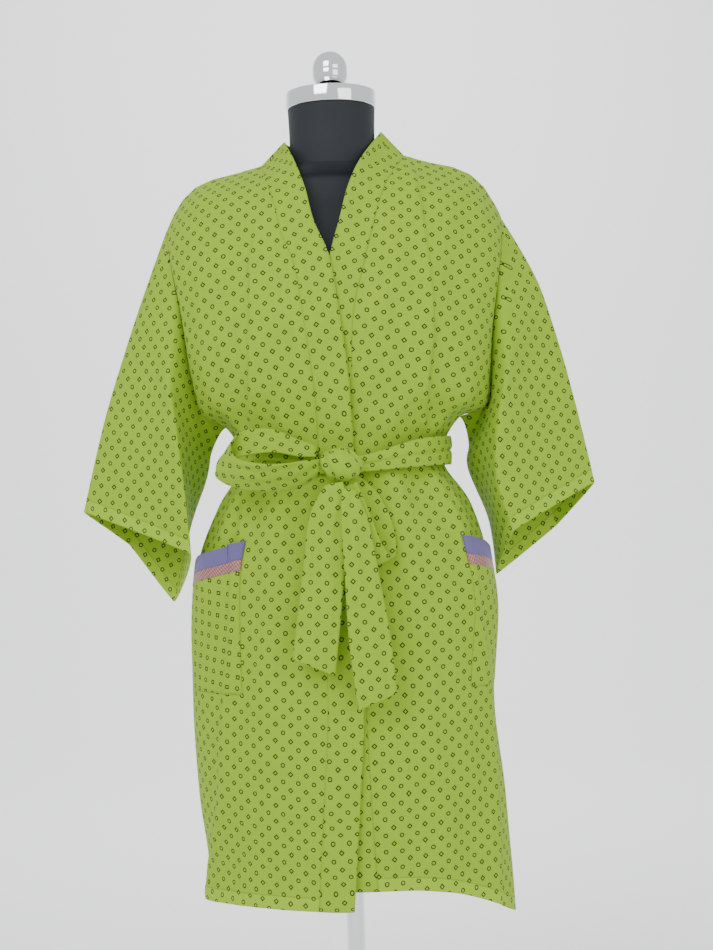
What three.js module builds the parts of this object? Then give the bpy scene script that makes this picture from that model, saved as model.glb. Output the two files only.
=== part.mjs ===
// A cotton yukata robe on a limbless dress form: two fronts, a back, two wide sleeves, a neckband,
// two patch pockets with a woven border at the mouth, and a sash tied in a bow at the front.
// Units are millimetres. +X is the robe's left side (the viewer's right), -Y is its front and +Z is up.
// The origin is the middle of the stand's foot, on the floor.
import * as THREE from "three";

// ---------------------------------------------------------------- driving dimensions
const CLOTH = 1.2; // wall of a single layer
const DOUBLE = 2.2; // wall of a doubled layer: neckband and sash
const SEAM = 0.3; // gap between sewn pieces
const SIDE_GAP = 0.6; // half the gap at the side seams
const LAP = 6; // the right front lies this far in front of the left one
const BAND = 46; // width of the neckband
const PRESS = 3.2; // height of the pressed crease down each front
const GREEN = { color: 0x9dbb3a, roughness: 0.75, metalness: 0 };
const VIOLET = { color: 0x5a4a8c, roughness: 0.6, metalness: 0 };
const ZARI = { color: 0x9c6b5c, roughness: 0.45, metalness: 0.3 };
const NAVY = { color: 0x161a22, roughness: 0.8, metalness: 0 };
const CHROME = { color: 0xd0d2d4, roughness: 0.12, metalness: 1 };
const STEEL = { color: 0xb4b6b8, roughness: 0.22, metalness: 1 };
const IRON = { color: 0x1c1d1f, roughness: 0.5, metalness: 0.4 };

// ---------------------------------------------------------------- tables with named columns
const table = (names, rows) =>
  rows.map((row) => Object.fromEntries(names.split(" ").map((name, i) => [name, row[i]])));

// Rows of each front from the shoulder to the hem. edge is the free edge, out the armhole or side seam;
// x is measured outwards from the middle, so a negative edgeX has crossed it; depth is towards the front;
// square is how box-like the row is in plan.
const FRONT_COLUMNS = "edgeX edgeZ edgeDepth outX outZ outDepth square";
const RIGHT_FRONT = table(FRONT_COLUMNS, [
  [66, 1438, 2, 232, 1320, 0.6, 2.0],
  [51, 1400, 55, 229, 1298, 14, 2.1],
  [37, 1358, 84, 223, 1262, 30, 2.2],
  [26, 1312, 99, 214, 1216, 38, 2.3],
  [7, 1262, 112, 207, 1168, 38, 2.3],
  [-3, 1192, 128, 199, 1110, 30, 2.3],
  [-13, 1110, 125, 187, 1064, 16, 2.2],
  [-16, 1052, 117, 158, 1046, 0.6, 2.1],
  [-17, 1018, 110, 142, 1018, 0.6, 2.1],
  [-18, 986, 110, 142, 984, 0.6, 2.0],
  [-19, 940, 121, 172, 936, 0.6, 1.95],
  [-20, 872, 131, 200, 868, 0.6, 1.9],
  [-21, 796, 136, 211, 796, 0.6, 1.85],
  [-20, 664, 138, 215, 664, 0.6, 1.8],
  [-11, 540, 135, 210, 540, 0.6, 1.75],
  [-4, 455, 132, 200, 452, 0.6, 1.7],
  [0, 410, 130, 206, 402, 0.6, 1.7],
]);
const LEFT_FRONT = table(FRONT_COLUMNS, [
  [68, 1448, 2, 231, 1322, 0.6, 2.0],
  [37, 1400, 58, 229, 1300, 14, 2.1],
  [18, 1356, 82, 224, 1264, 30, 2.2],
  [6, 1312, 98, 217, 1218, 38, 2.3],
  [-8, 1262, 112, 210, 1168, 38, 2.3],
  [-24, 1192, 128, 205, 1110, 30, 2.3],
  [-30, 1110, 125, 198, 1064, 16, 2.3],
  [-34, 1054, 117, 164, 1052, 0.6, 2.2],
  [-34, 1018, 110, 142, 1018, 0.6, 2.1],
  [-33, 986, 110, 142, 984, 0.6, 2.1],
  [-32, 940, 120, 174, 936, 0.6, 2.2],
  [-30, 872, 130, 195, 868, 0.6, 2.4],
  [-28, 796, 134, 207, 796, 0.6, 2.4],
  [-24, 664, 135, 200, 664, 0.6, 2.3],
  [-20, 545, 133, 211, 536, 0.6, 2.1],
  [-17, 474, 130, 218, 440, 0.6, 1.9],
  [-15, 433, 127, 221, 372, 0.6, 1.9],
]);

// The pressed crease down each front, by height.
const CREASE_COLUMNS = "z x";
const CREASES = {
  right: table(CREASE_COLUMNS, [
    [1330, 106], [1180, 113], [1030, 118], [985, 118], [880, 141], [700, 166], [560, 177], [380, 186],
  ]),
  left: table(CREASE_COLUMNS, [
    [1420, 102], [1300, 116], [1165, 124], [1050, 114], [985, 112], [890, 156], [830, 168], [700, 188], [380, 199],
  ]),
};

// Rows of the back, level with the fronts' rows; its two side edges are the fronts' out points.
const BACK = table("midZ midDepth outDepth square", [
  [1396, 74, 0.6, 2.0],
  [1368, 90, 22, 2.1],
  [1332, 102, 38, 2.2],
  [1286, 110, 46, 2.3],
  [1232, 114, 46, 2.3],
  [1150, 112, 36, 2.3],
  [1090, 104, 18, 2.2],
  [1048, 98, 0.6, 2.1],
  [1018, 91, 0.6, 2.1],
  [986, 92, 0.6, 2.1],
  [940, 112, 0.6, 2.1],
  [870, 132, 0.6, 2.1],
  [796, 138, 0.6, 2.0],
  [664, 138, 0.6, 1.9],
  [540, 138, 0.6, 1.9],
  [448, 136, 0.6, 1.8],
  [392, 134, 0.6, 1.8],
]);
const NECKLINE = { x: 93, depth: 74, z: 1396 }; // where the back's top edge leaves the shoulder, and its middle

// Height of the shoulder line above its outer end, by share of the way out from the neck.
const SHOULDER = table("share height", [
  [0, 1], [0.05, 0.87], [0.16, 0.74], [0.4, 0.65], [0.6, 0.59], [0.75, 0.5], [0.86, 0.36], [0.94, 0.18], [1, 0],
]);

// Corners of a sleeve's section from the armhole to the cuff: fold is the top fold, front and inner are the
// corners nearest the viewer and the body, and back is the one behind. x is outwards, y backwards.
const SLEEVE_COLUMNS = "foldX foldY foldZ frontX frontY frontZ innerX innerY innerZ backX backY backZ";
const RIGHT_SLEEVE = table(SLEEVE_COLUMNS, [
  [232, 2, 1320, 214, -52, 1172, 176, 10, 1044, 205, 58, 1176],
  [266, 3, 1235, 226, -66, 1110, 182, 22, 1012, 226, 70, 1120],
  [297, 4, 1150, 220, -72, 1040, 190, 32, 976, 246, 76, 1056],
  [328, 5, 1056, 212, -70, 968, 216, 40, 908, 272, 76, 980],
  [359, 6, 936, 206, -60, 876, 242, 44, 806, 306, 68, 886],
]);
const LEFT_SLEEVE = table(SLEEVE_COLUMNS, [
  [231, 2, 1322, 220, -52, 1172, 182, 12, 1044, 208, 58, 1176],
  [274, 3, 1246, 224, -62, 1110, 178, 24, 1014, 232, 70, 1120],
  [302, 4, 1160, 212, -66, 1040, 176, 34, 980, 252, 76, 1056],
  [326, 5, 1064, 208, -66, 968, 204, 40, 906, 276, 76, 984],
  [349, 6, 956, 229, -60, 895, 212, 40, 831, 302, 66, 896],
]);
const FOLD_ROUND = 0.2; // 0 is a knife edge and 1 a smooth bend
const SIDE_ROUND = { armhole: 0.8, cuff: 0.3 };

// The dress form's rings from the hem of its cover to the neck.
const TORSO = table("z halfWidth front back", [
  [575, 136, 80, 86], [583, 142, 86, 92], [640, 152, 98, 104], [730, 160, 105, 111], [800, 164, 107, 113],
  [868, 162, 106, 112], [930, 148, 98, 98],
  [1005, 124, 90, 78], [1080, 138, 102, 86], [1150, 152, 112, 94], [1215, 160, 104, 98],
  [1280, 166, 82, 92], [1325, 168, 64, 80], [1350, 162, 50, 66], [1368, 144, 44, 54],
  [1380, 114, 42, 50], [1388, 84, 46, 50], [1396, 64, 50, 52], [1401, 59, 52, 52],
]);
const NECK = table("z halfWidth front back", [
  [1401.4, 59, 52, 52], [1424, 58.5, 54, 54], [1452, 59, 56, 56], [1480, 60, 60, 60],
]);

// Stations of the sash's loops and tails: the middle of the strip and half its width as a vector.
const STRIP_COLUMNS = "x y z wx wy wz";
const RIGHT_LOOP = table(STRIP_COLUMNS, [
  [-31, -148, 986, 2, -8, 12], [-60, -160, 978, 2, -16, 17], [-104, -164, 978, 4, -20, 17],
  [-140, -150, 986, 9, -18, 16], [-152, -134, 1002, 12, -10, 17], [-132, -123, 1020, 6, 7, 18],
  [-90, -127, 1024, 0, 9, 15], [-54, -131, 1014, 0, 8, 11], [-32, -133, 1008, 0, 5, 6],
]);
const LEFT_LOOP = table(STRIP_COLUMNS, [
  [12, -139, 972, 9, 2, 4], [26, -136, 944, 19, 5, 9], [40, -137, 908, 23, 6, 9], [46, -141, 876, 22, 5, 8],
  [42, -152, 862, 21, 3, 8], [30, -161, 882, 19, -3, 6], [20, -163, 922, 15, -3, 4], [13, -156, 964, 7, -2, 3],
]);
const RIGHT_TAIL = table(STRIP_COLUMNS, [
  [-10, -164, 966, 12, -2, 2], [-17, -172, 930, 24, -5, 4], [-24, -172, 870, 27, -5, 4],
  [-33, -169, 800, 27, -3, -6], [-42, -166, 732, 27, 2, -12],
]);
const LEFT_TAIL = table(STRIP_COLUMNS, [
  [9, -172, 958, 9, 3, -1], [16, -181, 920, 17, 5, -1], [22, -182, 860, 21, 7, 0],
  [30, -176, 770, 26, 5, 6], [38, -170, 686, 25, 2, 10],
]);

// ---------------------------------------------------------------- curves and grids
const sub = (a, b) => a.map((value, i) => value - b[i]);
const plus = (a, b, k = 1) => a.map((value, i) => value + k * b[i]);
const mix = (a, b, t) => a.map((value, i) => value + t * (b[i] - value));
const cross = (a, b) => [a[1] * b[2] - a[2] * b[1], a[2] * b[0] - a[0] * b[2], a[0] * b[1] - a[1] * b[0]];
const unit = (a) => {
  const size = Math.hypot(...a) || 1;
  return a.map((value) => value / size);
};

// A smooth value between the rows of a table, t from 0 at its first row to 1 at its last.
function along(rows, t) {
  const at = Math.min(Math.max(t, 0), 1) * (rows.length - 1);
  const i = Math.min(Math.floor(at), rows.length - 2);
  const f = at - i;
  const row = (k) => rows[Math.min(Math.max(k, 0), rows.length - 1)];
  const [a, b, c, d] = [row(i - 1), row(i), row(i + 1), row(i + 2)];
  const value = (key) =>
    b[key] +
    0.5 * f * (c[key] - a[key] + f * (2 * a[key] - 5 * b[key] + 4 * c[key] - d[key] + f * (3 * (b[key] - c[key]) + d[key] - a[key])));
  return Object.fromEntries(Object.keys(b).map((key) => [key, value(key)]));
}

// A row of a front or of the back. Below the armhole its side edge stays just clear of the side seam's plane.
function rowOf(rows, t) {
  const row = along(rows, t);
  return { ...row, outDepth: Math.max(SIDE_GAP, row.outDepth) };
}

// Height of the shoulder line by share of the way out.
function shoulder(share) {
  const i = Math.max(1, SHOULDER.findIndex((row) => row.share >= share));
  const [a, b] = [SHOULDER[i - 1], SHOULDER[i]];
  return a.height + ((share - a.share) / (b.share - a.share)) * (b.height - a.height);
}

// A grid of points from make(u, v) with u across and v along, each from 0 to 1.
const grid = (across, down, make) =>
  Array.from({ length: down + 1 }, (_, j) =>
    Array.from({ length: across + 1 }, (_, i) => make(i / across, j / down)));

// The outward normal at each point of a grid; ring says that each row closes on itself.
function normals(points, ring) {
  const rows = points.length;
  const n = points[0].length;
  const at = (row, i) => row[ring ? (i + n) % n : Math.min(Math.max(i, 0), n - 1)];
  return points.map((row, j) =>
    row.map((_, i) => {
      const acrossWay = sub(at(row, i + 1), at(row, i - 1));
      const downWay = sub(points[Math.min(j + 1, rows - 1)][i], points[Math.max(j - 1, 0)][i]);
      return unit(cross(downWay, acrossWay));
    }));
}

// A closed wall of the given thickness behind a grid of outer points. A panel's end columns stay at their own
// depth, so that the panels meet at the side seams.
function wall(points, thickness, ring = false, panel = false) {
  const normal = normals(points, ring);
  const inner = points.map((row, j) => row.map((p, i) => plus(p, normal[j][i], -thickness)));
  if (panel)
    inner.forEach((row, j) => [0, row.length - 1].forEach((i) => {
      row[i][1] = points[j][i][1];
    }));
  const rows = points.length;
  const n = points[0].length;
  const vertices = [...points.flat(), ...inner.flat()];
  const id = (layer, j, i) => layer * rows * n + j * n + (i % n);
  const faces = [];
  const quad = (a, b, c, d) => faces.push(a, b, c, a, c, d);
  const last = ring ? n : n - 1;
  for (let j = 0; j < rows - 1; j++)
    for (let i = 0; i < last; i++) {
      quad(id(0, j, i), id(0, j + 1, i), id(0, j + 1, i + 1), id(0, j, i + 1));
      quad(id(1, j, i), id(1, j, i + 1), id(1, j + 1, i + 1), id(1, j + 1, i));
    }
  for (let i = 0; i < last; i++) {
    quad(id(0, 0, i), id(0, 0, i + 1), id(1, 0, i + 1), id(1, 0, i));
    quad(id(0, rows - 1, i), id(1, rows - 1, i), id(1, rows - 1, i + 1), id(0, rows - 1, i + 1));
  }
  if (!ring)
    for (let j = 0; j < rows - 1; j++) {
      quad(id(0, j, 0), id(1, j, 0), id(1, j + 1, 0), id(0, j + 1, 0));
      quad(id(0, j, n - 1), id(0, j + 1, n - 1), id(1, j + 1, n - 1), id(1, j, n - 1));
    }
  return geometry(vertices, faces);
}

// Closed rings stacked into one solid with flat ends.
function stack(rings) {
  const n = rings[0].length;
  const vertices = rings.flat();
  const middle = (ring) => ring.reduce((a, b) => plus(a, b)).map((value) => value / n);
  const bottom = vertices.push(middle(rings[0])) - 1;
  const top = vertices.push(middle(rings[rings.length - 1])) - 1;
  const faces = [];
  for (let j = 0; j < rings.length - 1; j++)
    for (let i = 0; i < n; i++) {
      const [a, b] = [j * n + i, j * n + ((i + 1) % n)];
      faces.push(a, b, b + n, a, b + n, a + n);
    }
  for (let i = 0; i < n; i++) {
    const upper = (rings.length - 1) * n;
    faces.push(bottom, (i + 1) % n, i, top, upper + i, upper + ((i + 1) % n));
  }
  return geometry(vertices, faces);
}

function geometry(vertices, faces) {
  const made = new THREE.BufferGeometry();
  made.setAttribute("position", new THREE.Float32BufferAttribute(vertices.flat(), 3));
  made.setIndex(faces);
  made.computeVertexNormals();
  return made;
}

// ---------------------------------------------------------------- the fronts and the back
// A soft bump one unit high, centred on centre and width wide.
const bump = (at, centre, width) => Math.exp(-(((at - centre) / width) ** 2));

// Gathers above and below the sash: vertical folds that die out away from the waist and under the sash.
function gather(turn, z) {
  const pinch = 1 - bump(z, 1008, 26);
  const near = pinch * (z > 1008 ? bump(z, 1030, 70) : bump(z, 960, 110));
  const sides = 0.35 + 0.65 * Math.abs(Math.cos(turn)) ** 0.7;
  return 5.5 * near * sides * Math.sin(13 * turn + 0.8 * Math.sin(3 * turn) + 0.4);
}

// The x of a front's pressed crease at a height.
function creaseAt(name, z) {
  const rows = CREASES[name];
  const i = Math.min(Math.max(1, rows.findIndex((row) => row.z <= z)), rows.length - 1);
  const [a, b] = [rows[i - 1], rows[i]];
  return a.x + (Math.min(Math.max(a.z - z, 0), a.z - b.z) / (a.z - b.z)) * (b.x - a.x);
}

// A point of a front. side is -1 for the right front and 1 for the left; q runs from the free edge (0)
// to the armhole or side seam (1), and t from the shoulder (0) to the hem (1).
function frontPoint(name, q, t) {
  const { rows, side } = FRONTS[name];
  const row = rowOf(rows, t);
  const turn = (Math.PI / 2) * q;
  const outShare = Math.sin(turn) ** (2 / row.square);
  const x = row.edgeX + (row.outX - row.edgeX) * outShare;
  const depthShare = Math.max(0, 1 - Math.abs(x / row.outX) ** row.square) ** (1 / row.square);
  const over = side < 0 ? LAP * Math.min(1, Math.max(0, (140 - x) / 80)) * Math.min(1, t / 0.2) : 0;
  const depth = row.outDepth + (row.edgeDepth - row.outDepth) * depthShare + over;
  const slope = Math.min(1, t / 0.4);
  const height = (1 - slope) * shoulder(outShare) + slope * (1 - outShare ** 3.5);
  const z = row.outZ + (row.edgeZ - row.outZ) * height;
  const pinch = 1 - bump(z, 1008, 26);
  const shown = Math.min(1, 10 * (1 - q)) * Math.min(1, Math.max(0, (1400 - z) / 150));
  const pressed = PRESS * pinch * shown * bump(x, creaseAt(name, z), 9);
  const fold = gather(Math.PI / 2 - turn, z) * Math.min(1, 3 * (1 - q)) * Math.min(1, 3 * q) + pressed;
  const outward = unit([depthShare * 0.4 + outShare ** 4, depthShare + 0.2]);
  return [side * (x + fold * outward[0]), -(depth + fold * outward[1]), z];
}

// A point of the back: p runs from the right side seam (-1) to the left one (1). Its top edge follows the
// neckline behind the neck and then the shoulder.
function backPoint(p, t) {
  const row = rowOf(BACK, t);
  const side = along(p < 0 ? RIGHT_FRONT : LEFT_FRONT, t);
  const turn = (Math.PI / 2) * Math.abs(p);
  const outShare = Math.sin(turn) ** (2 / row.square);
  const depthShare = Math.max(Math.cos(turn), 0) ** (2 / row.square);
  const x = side.outX * outShare;
  const top = along(p < 0 ? RIGHT_FRONT : LEFT_FRONT, 0);
  const shoulderZ = (at) => top.outZ + (top.edgeZ - top.outZ) * shoulder(Math.min(1, Math.max(0, (at - top.edgeX) / (top.outX - top.edgeX))));
  const inNeck = Math.min(1, x / NECKLINE.x);
  const topZ = x < NECKLINE.x ? NECKLINE.z + (shoulderZ(NECKLINE.x) - NECKLINE.z) * inNeck ** 2 : shoulderZ(x);
  const topDepth = row.outDepth + (NECKLINE.depth - 0.6) * Math.sqrt(1 - inNeck ** 2);
  const lower = Math.min(1, t / 0.3);
  const drop = lower * lower * (3 - 2 * lower);
  const restZ = side.outZ + (row.midZ - side.outZ) * (1 - outShare ** 2.5);
  const fallen = topZ - (top.outZ - side.outZ) * outShare - (NECKLINE.z - row.midZ) * (1 - outShare);
  const z = (1 - drop) * fallen + drop * restZ;
  const soon = Math.min(1, t / 0.16);
  const depth = (1 - soon) * topDepth + soon * (row.outDepth + (row.midDepth - row.outDepth) * depthShare);
  const fold = gather(Math.PI / 2 - turn + (p < 0 ? 0.5 : 0.9), z) * Math.min(1, 3 * (1 - Math.abs(p)));
  const outward = unit([depthShare * 0.4 + outShare ** 4, depthShare + 0.2]);
  return [Math.sign(p) * (x + fold * outward[0]), depth + fold * outward[1], z];
}

const FRONTS = {
  right: { rows: RIGHT_FRONT, side: -1 },
  left: { rows: LEFT_FRONT, side: 1 },
};
const onFront = frontPoint;

// The q at which a row has run for a length from the free edge.
function rowAt(name, t, length) {
  let run = 0;
  let last = onFront(name, 0, t);
  const step = 0.01;
  for (let q = step; q < 1; q += step) {
    const next = onFront(name, q, t);
    const piece = Math.hypot(...sub(next, last));
    if (run + piece >= length) return q - step + (step * (length - run)) / piece;
    run += piece;
    last = next;
  }
  return 1;
}

function frontPanel(name) {
  const points = grid(14, 24, (u, t) => {
    const start = rowAt(name, t, BAND + SEAM);
    return onFront(name, start + u * (1 - start), t);
  });
  return wall(name === "right" ? points : points.map((row) => [...row].reverse()), CLOTH, false, true);
}

function backPanel() {
  return wall(grid(26, 24, (u, t) => backPoint(1 - 2 * u, t)), CLOTH, false, true);
}

// ---------------------------------------------------------------- the neckband
// The band runs up the right front, round the neck and down the left front. Behind the neck it stands up.
function neckband() {
  const across = 2;
  const up = 24;
  const round = 12;
  const onRow = (name, t, w) => onFront(name, w * rowAt(name, t, BAND - SEAM), t);
  const rows = [];
  for (let j = 0; j < up; j++) rows.push((w) => onRow("right", 1 - j / up, w));
  for (let j = 0; j <= round; j++) {
    const turn = Math.PI * (j / round);
    const [c, s] = [Math.cos(turn), Math.sin(turn)];
    rows.push((w) => {
      const [start, end] = [onRow("right", 0, 0), onRow("left", 0, 0)];
      const [startSeam, endSeam] = [onRow("right", 0, 1), onRow("left", 0, 1)];
      const free = [mix(start, end, (1 - c) / 2)[0], start[1] + 68 * s, mix(start, end, j / round)[2] - 4 * s];
      const lie = mix(sub(startSeam, start), sub(endSeam, end), j / round);
      const reach = Math.abs(lie[0]) * (1 - s) + 6 * s;
      const drop = lie[2] * (1 - s) - 40 * s;
      return [free[0] - w * reach * c, free[1] + w * reach * s, free[2] + w * drop];
    });
  }
  for (let j = 1; j <= up; j++) rows.push((w) => onRow("left", j / up, w));
  const points = rows.map((row) => Array.from({ length: across + 1 }, (_, i) => row(i / across)));
  return wall(points, DOUBLE);
}

// ---------------------------------------------------------------- the sleeves
// A point of a sleeve: u goes round from the top fold by the front, the inner side and the back,
// and v from the armhole to the cuff.
function sleevePoint(rows, side, u, v) {
  const row = along(rows, v);
  const corner = (name) => [row[name + "X"], row[name + "Y"], row[name + "Z"]];
  const corners = ["fold", "front", "inner", "back"].map(corner);
  const bend = SIDE_ROUND.armhole + (SIDE_ROUND.cuff - SIDE_ROUND.armhole) * v;
  const round = [FOLD_ROUND, bend, bend, bend];
  const at = ((u % 1) + 1) % 1 * 4;
  const i = Math.floor(at);
  const f = at - i;
  const [a, b, c, d] = [3, 0, 1, 2].map((k) => corners[(i + k) % 4]);
  const leave = sub(c, a).map((value) => 0.5 * value * round[i]);
  const arrive = sub(d, b).map((value) => 0.5 * value * round[(i + 1) % 4]);
  const [f2, f3] = [f * f, f * f * f];
  const p = b.map((value, k) =>
    value * (2 * f3 - 3 * f2 + 1) + leave[k] * (f3 - 2 * f2 + f) + c[k] * (3 * f2 - 2 * f3) + arrive[k] * (f3 - f2));
  const hang = 3 * Math.sin(Math.PI * v) * Math.sin(5 * Math.PI * f) * (i % 2);
  return [side * (p[0] + hang), p[1], p[2]];
}

// The armhole's rim at the same place: down the front's edge and up the back's.
function armholePoint(name, u) {
  const rim = 7 / 16;
  const t = rim * (1 - Math.abs(1 - 2 * u));
  return u <= 0.5 ? onFront(name, 1, t) : backPoint(FRONTS[name].side, t);
}

// Half the robe's width at a height and depth.
function bodyX(name, y, z) {
  const { rows } = FRONTS[name];
  const found = rows.findIndex((row) => row.outZ <= z);
  const i = found < 0 ? rows.length - 1 : Math.max(1, found);
  const t = (i - (z - rows[i].outZ) / (rows[i - 1].outZ - rows[i].outZ)) / (rows.length - 1);
  const front = rowOf(rows, t);
  const back = rowOf(BACK, t);
  const [deep, full, square] = y < 0
    ? [front.outDepth, front.edgeDepth, front.square]
    : [back.outDepth, back.midDepth, back.square];
  const share = Math.min(1, Math.max(0, (Math.abs(y) - deep) / (full - deep)));
  return front.outX * (1 - share ** square) ** (1 / square);
}

function sleeve(name, rows) {
  const side = FRONTS[name].side;
  const around = 32;
  const points = Array.from({ length: 13 }, (_, j) => {
    const v = j / 12;
    const free = Math.min(1, v / 0.3);
    const ease = free * free * (3 - 2 * free);
    return Array.from({ length: around }, (_, i) => {
      const u = (name === "right" ? i : around - i) / around % 1;
      const rim = armholePoint(name, u);
      const [x, y, z] = mix(rim, sleevePoint(rows, side, u, v), ease);
      const clear = 4 + 3 * ease;
      return [side * Math.max(side * x + 4 * (1 - ease), z < 1300 ? bodyX(name, y, z) + clear : 0), y, z];
    });
  });
  return wall(points, CLOTH, true);
}

// ---------------------------------------------------------------- pockets
const POCKETS = {
  right: { top: 0.668, bottom: 0.8, inner: 0.5, outer: 0.9, slant: 0.03, gape: 15 },
  left: { top: 0.668, bottom: 0.8, inner: 0.6, outer: 0.95, slant: 0.02, gape: 9 },
};
const POCKET_GAP = 3;

// A point of a pocket: u from its inner edge to its outer one, v from the mouth down. It stands off the
// front, most at the mouth.
function pocketPoint(name, u, v, lift = 0) {
  const { top, bottom, inner, outer, slant, gape } = POCKETS[name];
  const q = inner + u * (outer - inner);
  const t = top + slant * u + v * (bottom - top - slant * u);
  const away = 0.01;
  const base = onFront(name, q, t);
  const across = sub(onFront(name, q + away, t), base);
  const out = unit(cross(sub(onFront(name, q, t + away), base), across));
  const open = gape * Math.sin(Math.PI * u) ** 0.8 * Math.max(0, 1 - v * 1.3) ** 1.4;
  return plus(base, out, FRONTS[name].side * (POCKET_GAP + lift + open));
}

function pocket(name) {
  const points = grid(8, 8, (u, v) => pocketPoint(name, u, 0.27 + 0.73 * v));
  return wall(name === "right" ? points : points.map((row) => [...row].reverse()), CLOTH);
}

// The two woven strips that finish the mouth, violet above and gold below.
function border(name, from, to) {
  const points = grid(8, 1, (u, v) => pocketPoint(name, u, from + (to - from) * v, 0.5));
  return wall(name === "right" ? points : points.map((row) => [...row].reverse()), CLOTH + 0.4);
}

// ---------------------------------------------------------------- the sash
// The sash's turn round the waist, lying on the robe: u goes round from the front to the robe's left, v from
// its top edge down. It is bunched where it meets the knot.
function sashPoint(u, v) {
  const angle = 2 * Math.PI * u;
  const [c, s] = [Math.cos(angle), Math.sin(angle)];
  const square = 2 / 2.3;
  const bunched = bump(angle > Math.PI ? angle - 2 * Math.PI : angle, 0, 0.5);
  const height = 39 - 19 * bunched;
  const x = 152 * Math.sign(s) * Math.abs(s) ** square;
  const y = -(c > 0 ? 124 : 100) * Math.sign(c) * Math.abs(c) ** square;
  return [x, y, 1003 + 3 * s - 14 * bunched + height * (0.5 - v)];
}

function sashTurn() {
  const points = Array.from({ length: 3 }, (_, j) =>
    Array.from({ length: 44 }, (_, i) => sashPoint(i / 44, j / 2)));
  return wall(points, DOUBLE, true);
}

// A length of sash along a table of stations.
function strip(rows, steps) {
  return wall(grid(2, steps, (u, v) => {
    const row = along(rows, v);
    return plus([row.x, row.y, row.z], [row.wx, row.wy, row.wz], 2 * u - 1);
  }), DOUBLE);
}

// The knot: a rounded lump where the sash's ends pass round each other.
function knot() {
  const made = new THREE.SphereGeometry(1, 16, 12);
  made.scale(27, 17, 21);
  made.rotateY(0.35);
  made.translate(1, -148, 990);
  return made;
}

// ---------------------------------------------------------------- the dress form and its stand
function formRings(rows, count, around = 28) {
  return Array.from({ length: count + 1 }, (_, j) => {
    const row = along(rows, j / count);
    return Array.from({ length: around }, (_, i) => {
      const angle = (2 * Math.PI * i) / around;
      const depth = Math.sin(angle) < 0 ? row.front : row.back;
      return [row.halfWidth * Math.cos(angle), depth * Math.sin(angle), row.z];
    });
  });
}

function turned(profile, segments) {
  return new THREE.LatheGeometry(profile.map(([r, z]) => new THREE.Vector2(r, z)), segments).rotateX(Math.PI / 2);
}

// Profiles of the turned pieces, radius and height, from the bottom of the axis to its top.
const CAP = [[0, 1480.4], [61, 1480.4], [62, 1482], [62, 1501], [60, 1503], [30, 1506], [0, 1506]];
const FINIAL = [
  [0, 1506.4], [11, 1506.4], [11, 1515.5], [18, 1521], [22.5, 1529], [24, 1537], [22.5, 1545], [18, 1553],
  [11, 1558.5], [5, 1560.5], [0, 1561],
];
const FLANGE = [[0, 559], [22, 559], [22, 569], [46, 571], [46, 574.6], [0, 574.6]];
const POLE = [[0, 37], [12.5, 37], [12.5, 558.6], [0, 558.6]];
const HUB = [[0, 18.4], [42, 18.4], [40, 24], [22, 28], [22, 36.6], [0, 36.6]];
const FOOT = [[0, 0], [178, 0], [180, 3], [180, 11], [176, 15], [60, 18], [0, 18]];

// ---------------------------------------------------------------- the assembly
const robe = new THREE.Group();

function add(name, shape, material) {
  const mesh = new THREE.Mesh(shape, new THREE.MeshStandardMaterial(material));
  mesh.name = name;
  robe.add(mesh);
}

add("back", backPanel(), GREEN);
for (const name of ["right", "left"]) {
  add("front_" + name, frontPanel(name), GREEN);
  add("sleeve_" + name, sleeve(name, name === "right" ? RIGHT_SLEEVE : LEFT_SLEEVE), GREEN);
  add("pocket_" + name, pocket(name), GREEN);
  add("border_violet_" + name, border(name, 0, 0.155), VIOLET);
  add("border_gold_" + name, border(name, 0.165, 0.262), ZARI);
}
add("neckband", neckband(), GREEN);
add("sash_turn", sashTurn(), GREEN);
add("sash_knot", knot(), GREEN);
add("sash_loop_right", strip(RIGHT_LOOP, 16), GREEN);
add("sash_loop_left", strip(LEFT_LOOP, 16), GREEN);
add("sash_tail_right", strip(RIGHT_TAIL, 10), GREEN);
add("sash_tail_left", strip(LEFT_TAIL, 10), GREEN);
add("form_torso", stack(formRings(TORSO, 26)), NAVY);
add("form_neck", stack(formRings(NECK, 4)), NAVY);
add("neck_cap", turned(CAP, 40), CHROME);
add("finial", turned(FINIAL, 28), CHROME);
add("form_flange", turned(FLANGE, 28), STEEL);
add("pole", turned(POLE, 24), STEEL);
add("foot_hub", turned(HUB, 28), STEEL);
add("foot", turned(FOOT, 48), IRON);

export default robe;
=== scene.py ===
"""Looks for a cotton yukata robe that hangs on a limbless dress form.

The cloth is built as fine surfaces from the same named sizes as the CAD part, with the folds, pressed
creases and gathers added, and its print follows a flat layout of each piece. Sizes here are in millimetres; meshes
are in metres. +X is the robe's left side, -Y its front and +Z is up.
"""

import logging
import math
from dataclasses import dataclass, field
from enum import Enum
from typing import Sequence

import bpy
import numpy as np
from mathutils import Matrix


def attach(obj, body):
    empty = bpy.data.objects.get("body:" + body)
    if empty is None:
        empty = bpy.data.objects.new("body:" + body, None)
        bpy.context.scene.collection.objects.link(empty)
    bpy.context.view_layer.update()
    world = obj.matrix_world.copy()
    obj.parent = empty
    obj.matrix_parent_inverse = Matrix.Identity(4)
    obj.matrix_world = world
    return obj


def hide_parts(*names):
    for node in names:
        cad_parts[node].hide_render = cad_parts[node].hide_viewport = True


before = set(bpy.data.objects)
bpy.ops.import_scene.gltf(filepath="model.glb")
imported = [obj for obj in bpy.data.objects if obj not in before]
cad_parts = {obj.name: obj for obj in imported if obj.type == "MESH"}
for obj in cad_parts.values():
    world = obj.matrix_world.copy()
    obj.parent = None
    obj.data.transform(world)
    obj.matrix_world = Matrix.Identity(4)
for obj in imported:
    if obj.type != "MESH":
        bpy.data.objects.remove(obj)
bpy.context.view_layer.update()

LOG = logging.getLogger("yukata")
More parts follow.
